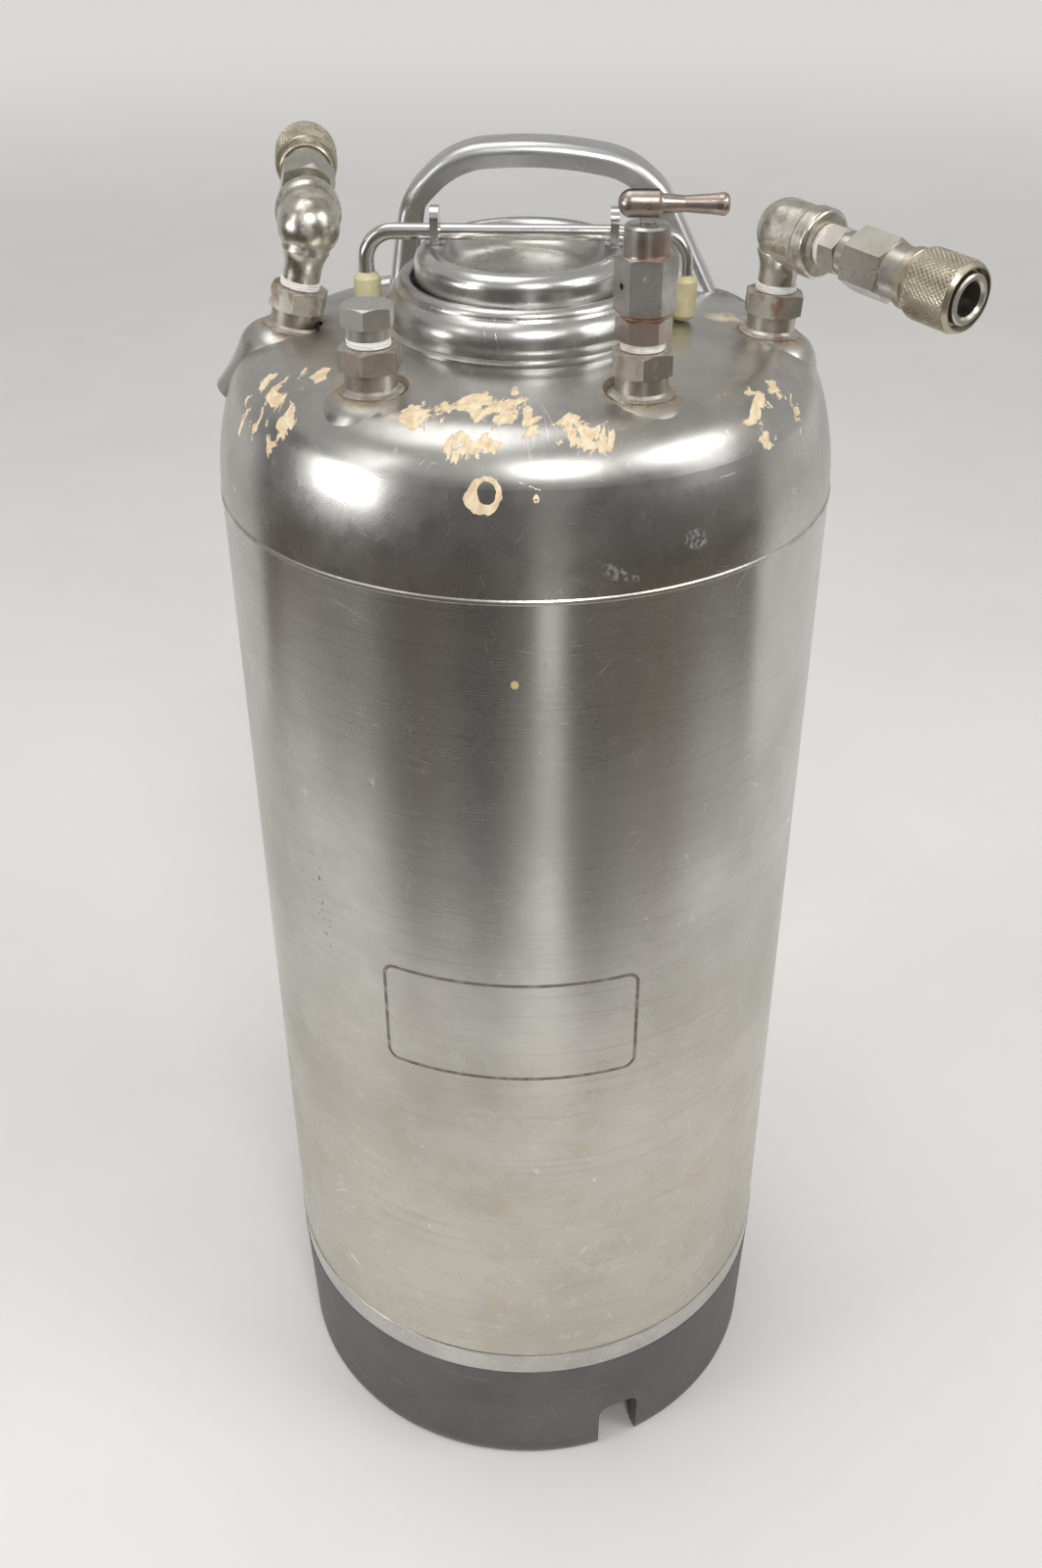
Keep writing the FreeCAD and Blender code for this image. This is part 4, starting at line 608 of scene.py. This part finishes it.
slots_of_nodes = {part["node"]: part["material_slot"] for part in frame["record"]["subparts"]}
for name, node in nodes_by_name.items():
    finish = LEVER_FINISH if name in ("toggle_lever", "toggle_pin") else FINISHES[slots_of_nodes[name]]
    for place in node.material_slots:
        place.material = finish


# Repeated forms made with geometry nodes: the knurl of both sleeves and the wound thread tapes

SEAT_HEIGHT = 0.5098
ELBOW_RISE = 0.0359

def frame_at(distance, turn, lean):
    """Frame of a port's seat: Z out of the port, X away from the tank's axis."""
    spot = Matrix.Translation((distance * math.cos(turn), distance * math.sin(turn), SEAT_HEIGHT))
    return spot @ Matrix.Rotation(lean, 4, "Y") @ Matrix.Rotation(turn, 4, "Z")


def outlet_at(port, turn, droop):
    """Frame of an elbow's outlet: origin at the elbow's middle, Z along the outlet."""
    elbow = port @ Matrix.Translation((0.0, 0.0, ELBOW_RISE)) @ Matrix.Rotation(math.radians(turn), 4, "Z")
    return elbow @ Matrix.Rotation(math.radians(90.0 + droop), 4, "Y")


LEFT_PORT = frame_at(0.0845, math.pi, math.radians(13.5))
FRONT_LEFT_PORT = frame_at(0.0827, math.radians(235.3), 0.0)
FRONT_RIGHT_PORT = frame_at(0.0794, math.radians(301.0), 0.0)
RIGHT_PORT = frame_at(0.0880, 0.0, math.radians(3.8))
LEFT_OUTLET = outlet_at(LEFT_PORT, 101.1 - 180.0, -5.0)
RIGHT_OUTLET = outlet_at(RIGHT_PORT, -48.9, 2.0)
BOSS_TOP = 0.0152
ELBOW_LENGTH = 0.0195
KNURL_RADIUS = 0.01152
KNURL_START = 0.0629
KNURL_LENGTH = 0.0161
TAPE_RADIUS = 0.00705
TAPE_WIDTH = 0.0028


def ring_tree(name, numbers, surface):
    """Geometry tree that rolls a fine grid into a ring; surface(n, given, u, v) gives radius and height."""
    tree = bpy.data.node_groups.new(name, "GeometryNodeTree")
    tree.interface.new_socket("Geometry", in_out="INPUT", socket_type="NodeSocketGeometry")
    for label, kind, value in numbers + [("Around", "NodeSocketInt", 96), ("Along", "NodeSocketInt", 12)]:
        tree.interface.new_socket(label, in_out="INPUT", socket_type=kind).default_value = value
    tree.interface.new_socket("Finish", in_out="INPUT", socket_type="NodeSocketMaterial")
    tree.interface.new_socket("Geometry", in_out="OUTPUT", socket_type="NodeSocketGeometry")
    n = Nodes(tree)
    given = tree.nodes.new("NodeGroupInput").outputs
    leave = tree.nodes.new("NodeGroupOutput")
    grid = n.add("GeometryNodeMeshGrid", {"Size X": 1.0, "Size Y": 1.0, "Vertices X": given["Around"],
                                          "Vertices Y": given["Along"]}).outputs["Mesh"]
    spot = n.parts(tree.nodes.new("GeometryNodeInputPosition").outputs[0])
    u = n.plus(spot["X"], 0.5)
    v = n.plus(spot["Y"], 0.5)
    radius, height = surface(n, given, u, v)
    angle = n.times(u, math.tau)
    across = n.times(radius, n.maths("COSINE", angle))
    along = n.times(radius, n.maths("SINE", angle))
    place = n.point(across, along, height)
    rolled = n.add("GeometryNodeSetPosition", {"Geometry": grid, "Position": place}).outputs[0]
    closed = n.add("GeometryNodeMergeByDistance", {"Geometry": rolled, "Distance": 0.000002}).outputs[0]
    real = n.add("GeometryNodeRealizeInstances", {"Geometry": closed}).outputs[0]
    dressed = n.add("GeometryNodeSetMaterial", {"Geometry": real, "Material": given["Finish"]}).outputs[0]
    n.feed(leave.inputs["Geometry"], dressed)
    return tree


def knurl_surface(n, given, u, v):
    """Rows of small pyramids where two sets of grooves cross, worn unevenly."""
    wave = n.times(u, given["Count"])
    climb = n.times(v, given["Rows"])
    one = n.maths("PINGPONG", n.plus(wave, climb), 0.5)
    other = n.maths("PINGPONG", n.minus(wave, climb), 0.5)
    point = n.times(n.least(one, other), 2.0)
    blunt = n.ramp(point, 0.08, 0.85)
    spin = n.times(u, math.tau)
    ring = n.point(n.maths("COSINE", spin), n.maths("SINE", spin), v)
    seeded = n.add("ShaderNodeTexNoise", {"Vector": ring, "W": given["Seed"], "Scale": 3.2, "Detail": 3.0},
                   noise_dimensions="4D").outputs[0]
    wear = n.ramp(seeded, 0.30, 0.62, 0.55, 1.0)
    rim = n.ramp(n.least(v, n.minus(1.0, v)), 0.0, 0.035)
    height = n.times(n.times(blunt, wear), n.times(rim, given["Depth"]))
    return n.plus(given["Radius"], height), n.plus(given["Start"], n.times(v, given["Length"]))


def tape_surface(n, given, u, v):
    """Three wraps of soft tape with creased, wandering edges."""
    spin = n.times(u, math.tau)
    ring = n.point(n.maths("COSINE", spin), n.maths("SINE", spin), n.times(v, 2.0))
    crease = n.add("ShaderNodeTexNoise", {"Vector": ring, "W": given["Seed"], "Scale": 2.6, "Detail": 4.0},
                   noise_dimensions="4D").outputs[0]
    wraps = n.maths("FRACT", n.plus(n.times(v, given["Wraps"]), u))
    wall = n.ramp(n.least(v, n.minus(1.0, v)), 0.0, 0.09)
    lift = n.plus(n.times(wraps, 0.00022), n.times(n.minus(crease, 0.5), 0.0007))
    reach = n.minus(given["Radius"], given["Inside"])
    radius = n.plus(given["Inside"], n.times(wall, n.plus(reach, lift)))
    sway = n.times(n.minus(crease, 0.5), n.times(wall, 0.0005))
    level = n.plus(given["Start"], n.times(v, given["Length"]))
    return radius, n.plus(level, sway)


def number(label, value):
    return (label, "NodeSocketFloat", value)


RING_NUMBERS = [number("Radius", 0.0115), number("Start", 0.0), number("Length", 0.016),
                number("Seed", 0.0)]
KNURL_NUMBERS = [number("Count", 44.0), number("Rows", 8.0), number("Depth", 0.0004)]
TAPE_NUMBERS = [number("Inside", 0.0064), number("Wraps", 3.0)]
KNURL = ring_tree("knurl", RING_NUMBERS + KNURL_NUMBERS, knurl_surface)
TAPE = ring_tree("wound tape", RING_NUMBERS + TAPE_NUMBERS, tape_surface)


def grow(name, tree, values, finish, frame_matrix):
    """Evaluates a geometry tree into a plain mesh placed in the world."""
    seed_mesh = bpy.data.meshes.new(name + "_seed")
    holder = bpy.data.objects.new(name + "_seed", seed_mesh)
    bpy.context.scene.collection.objects.link(holder)
    modifier = holder.modifiers.new("form", "NODES")
    modifier.node_group = tree
    sockets = {item.name: item.identifier for item in tree.interface.items_tree if item.in_out == "INPUT"}
    for label, value in values.items():
        modifier[sockets[label]] = value
    modifier[sockets["Finish"]] = finish
    bpy.context.view_layer.update()
    graph = bpy.context.evaluated_depsgraph_get()
    mesh = bpy.data.meshes.new_from_object(holder.evaluated_get(graph), depsgraph=graph)
    mesh.name = name
    mesh.transform(frame_matrix)
    bpy.data.objects.remove(holder)
    bpy.data.meshes.remove(seed_mesh)
    piece = bpy.data.objects.new(name, mesh)
    bpy.context.scene.collection.objects.link(piece)
    return piece


for side, outlet, seed in (("left", LEFT_OUTLET, 1.0), ("right", RIGHT_OUTLET, 5.0)):
    values = {"Radius": KNURL_RADIUS, "Start": KNURL_START, "Length": KNURL_LENGTH, "Seed": seed,
              "Around": 353, "Along": 65}
    jacket = grow(side + "_knurl", KNURL, values, FINISHES["sleeve_steel"], outlet)
    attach(jacket, side + "_sleeve")

WOUND_TAPES = [
    ("left_elbow_tape", LEFT_PORT, BOSS_TOP), ("right_elbow_tape", RIGHT_PORT, BOSS_TOP),
    ("plug_tape", FRONT_LEFT_PORT, BOSS_TOP), ("valve_tape", FRONT_RIGHT_PORT, BOSS_TOP),
    ("left_nipple_tape", LEFT_OUTLET, ELBOW_LENGTH), ("right_nipple_tape", RIGHT_OUTLET, ELBOW_LENGTH),
]
for seed, (node, port, start) in enumerate(WOUND_TAPES):
    values = {"Radius": TAPE_RADIUS, "Start": start, "Length": TAPE_WIDTH, "Seed": seed * 2.7,
              "Around": 161, "Along": 25}
    winding = grow("wound_" + node, TAPE, values, FINISHES["thread_tape"], port)
    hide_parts(node)
    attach(winding, "tank")


# Stage: pale floor, dark flags that only the metal sees, soft lamps

def stage_mesh(name, corners, material):
    mesh = bpy.data.meshes.new(name)
    mesh.from_pydata(corners, [], [tuple(range(len(corners)))])
    piece = bpy.data.objects.new(name, mesh)
    bpy.context.scene.collection.objects.link(piece)
    mesh.materials.append(material)
    return piece


def floor_material():
    finish, n, surface, place = new_finish("pale floor", metallic=0.0, Roughness=0.6,
                                           Specular_IOR_Level=0.2)
    smudge = n.noise(place, 3.0, 5.0, 0.6)
    near = n.mix(n.ramp(smudge, 0.3, 0.75), rgb(0.76, 0.755, 0.735), rgb(0.72, 0.715, 0.70))
    # The floor turns into the pale backdrop away from the tank
    away = n.ramp(n.vector("LENGTH", place), 1.2, 4.5)
    n.feed(surface.inputs["Base Color"], n.mix(away, near, rgb(0.0, 0.0, 0.0)))
    surface.inputs["Emission Color"].default_value = rgb(0.66, 0.65, 0.627)
    n.feed(surface.inputs["Emission Strength"], away)
    return finish


def flag_material(name, light, dark, scale):
    """Cloth of the dark flags, uneven so that the metal shows soft streaks."""
    finish, n, surface, place = new_finish(name, metallic=0.0, Roughness=1.0, Specular_IOR_Level=0.0)
    cloud = n.noise(place, scale, 2.0, 0.5)
    surface.inputs["Base Color"].default_value = rgb(0.0, 0.0, 0.0)
    n.feed(surface.inputs["Emission Color"], n.mix(n.ramp(cloud, 0.35, 0.65), rgb(*dark), rgb(*light)))
    surface.inputs["Emission Strength"].default_value = 1.0
    return finish


def only_in_metal(piece):
    piece.visible_camera = False
    piece.visible_diffuse = False
    piece.visible_shadow = False
    piece.visible_transmission = False
    piece.visible_volume_scatter = False


def around_front(reach, height, start, end, steps=24):
    """Points on an arc about the tank, reach(angle) away; 0 degrees is in front and +90 on the right."""
    points = []
    for k in range(steps + 1):
        angle = start + (end - start) * k / steps
        turn = math.radians(angle)
        points.append((reach(angle) * math.sin(turn), -reach(angle) * math.cos(turn), height))
    return points


def stage_strip(name, low, high, material):
    """Strip of quads between two runs of points, seen only by reflections."""
    mesh = bpy.data.meshes.new(name)
    count = len(low)
    mesh.from_pydata(low + high, [], [(k, k + 1, count + k + 1, count + k) for k in range(count - 1)])
    piece = bpy.data.objects.new(name, mesh)
    bpy.context.scene.collection.objects.link(piece)
    mesh.materials.append(material)
    only_in_metal(piece)


FLOOR_REACH = 14.0
FLOOR_SIDES = 96
rim = []
for k in range(FLOOR_SIDES):
    turn = math.tau * k / FLOOR_SIDES
    rim.append((FLOOR_REACH * math.cos(turn), FLOOR_REACH * math.sin(turn), 0.0))
stage_mesh("floor", rim, floor_material())

# Beyond a pale patch of floor the room in front is dark, apart from one bright gap; angles in degrees
GAP = (7.0, 15.5)
DARK_LEFT = -108.0
DARK_RIGHT = 94.0
PALE_REACH = 0.66
WALL_REACH = 2.6
WALL_TOP = 1.7
ABOVE_FLOOR = 0.002
# Dark lobes beside the gap: middle, half width, waves in a turn, depth
LEFT_LOBE = (-24.0, 70.0, 2.4, 0.16)
RIGHT_LOBE = (34.0, 62.0, 2.8, 0.17)
RIPPLE = 0.035


def pale_reach(angle):
    """Distance from the axis where the pale floor ends; dark lobes come nearest beside the bright gap."""
    middle, half, waves, depth = LEFT_LOBE if angle < GAP[0] else RIGHT_LOBE
    away = angle - middle
    lobe = depth * math.cos(math.radians(away) * waves) if abs(away) < half else -depth
    return PALE_REACH - lobe + RIPPLE * math.sin(math.radians(angle) * 11.0)


def wall_reach(angle):
    return WALL_REACH


ground = flag_material("floor flag", (0.21, 0.175, 0.13), (0.035, 0.035, 0.04), 2.6)
wall = flag_material("wall flag", (0.20, 0.19, 0.18), (0.07, 0.07, 0.075), 1.1)
for label, start, end in (("left", DARK_LEFT, GAP[0]), ("right", GAP[1], DARK_RIGHT)):
    near = around_front(pale_reach, ABOVE_FLOOR, start, end, 48)
    far = around_front(wall_reach, ABOVE_FLOOR, start, end, 48)
    stage_strip("floor_flag_" + label, near, far, ground)
    foot = around_front(wall_reach, 0.0, start, end)
    head = around_front(wall_reach, WALL_TOP, start, end)
    stage_strip("wall_flag_" + label, foot, head, wall)


def lamp(name, place, aim_height, size, power):
    """Soft rectangular lamp aimed at the tank's axis."""
    light = bpy.data.lights.new(name, "AREA")
    light.shape = "RECTANGLE"
    light.size = size[0]
    light.size_y = size[1]
    light.energy = power
    holder = bpy.data.objects.new(name, light)
    bpy.context.scene.collection.objects.link(holder)
    holder.location = place
    holder.rotation_mode = "QUATERNION"
    aim = Vector((0.0, 0.0, aim_height)) - Vector(place)
    holder.rotation_quaternion = aim.to_track_quat("-Z", "Y")


lamp("key_lamp", (0.36, -1.30, 1.75), 0.42, (0.42, 0.34), 10.0)
lamp("left_card", (-1.42, -0.72, 0.70), 0.49, (0.70, 0.36), 5.0)
lamp("right_card", (1.32, -0.42, 1.62), 0.49, (0.85, 0.42), 6.0)
lamp("top_lamp", (-0.5, 0.2, 2.5), 0.3, (1.5, 1.2), 10.5)
lamp("side_lamp", (1.6, -0.5, 1.2), 0.3, (0.7, 0.9), 3.5)
lamp("left_lamp", (-1.5, -0.9, 1.5), 0.3, (0.35, 0.8), 3.0)

world = bpy.data.worlds.new("studio")
bpy.context.scene.world = world
world.use_nodes = True
air = Nodes(world.node_tree)
sky = world.node_tree.nodes["Background"]
path = air.add("ShaderNodeLightPath").outputs
seen = air.most(path["Is Camera Ray"], path["Is Glossy Ray"])
seen = air.most(seen, path["Is Transmission Ray"])
air.feed(sky.inputs["Color"], air.mix(seen, rgb(1.0, 0.99, 0.97), rgb(1.0, 0.985, 0.95)))
plain = air.ramp(seen, 0.0, 1.0, 0.58, 0.66, smooth=False)
air.feed(sky.inputs["Strength"], air.minus(plain, air.times(path["Is Glossy Ray"], 0.22)))


CAMERA_PLACE = (0.0265, -0.5575, 0.6795)
CAMERA_LENS = 35.44
# Pitch down, yaw and roll in degrees
CAMERA_ANGLES = (33.32, -2.94, -0.237)


def set_camera():
    """Camera at the photo's viewing angle: 33.3 degrees down, 0.56 m in front of the tank's axis."""
    pitch, yaw, roll = [math.radians(angle) for angle in CAMERA_ANGLES]
    forward = Vector((math.sin(yaw) * math.cos(pitch), math.cos(yaw) * math.cos(pitch), -math.sin(pitch)))
    level = Vector((math.cos(yaw), -math.sin(yaw), 0.0))
    upright = level.cross(forward)
    right = level * math.cos(roll) + upright * math.sin(roll)
    top = upright * math.cos(roll) - level * math.sin(roll)
    lens = bpy.data.cameras.new("camera")
    lens.sensor_width = 36.0
    lens.lens = CAMERA_LENS
    lens.clip_start = 0.02
    holder = bpy.data.objects.new("camera", lens)
    bpy.context.scene.collection.objects.link(holder)
    turn = Matrix((right, top, -forward)).transposed().to_4x4()
    holder.matrix_world = Matrix.Translation(CAMERA_PLACE) @ turn
    bpy.context.scene.camera = holder


set_camera()
bpy.context.scene.view_settings.view_transform = "Standard"
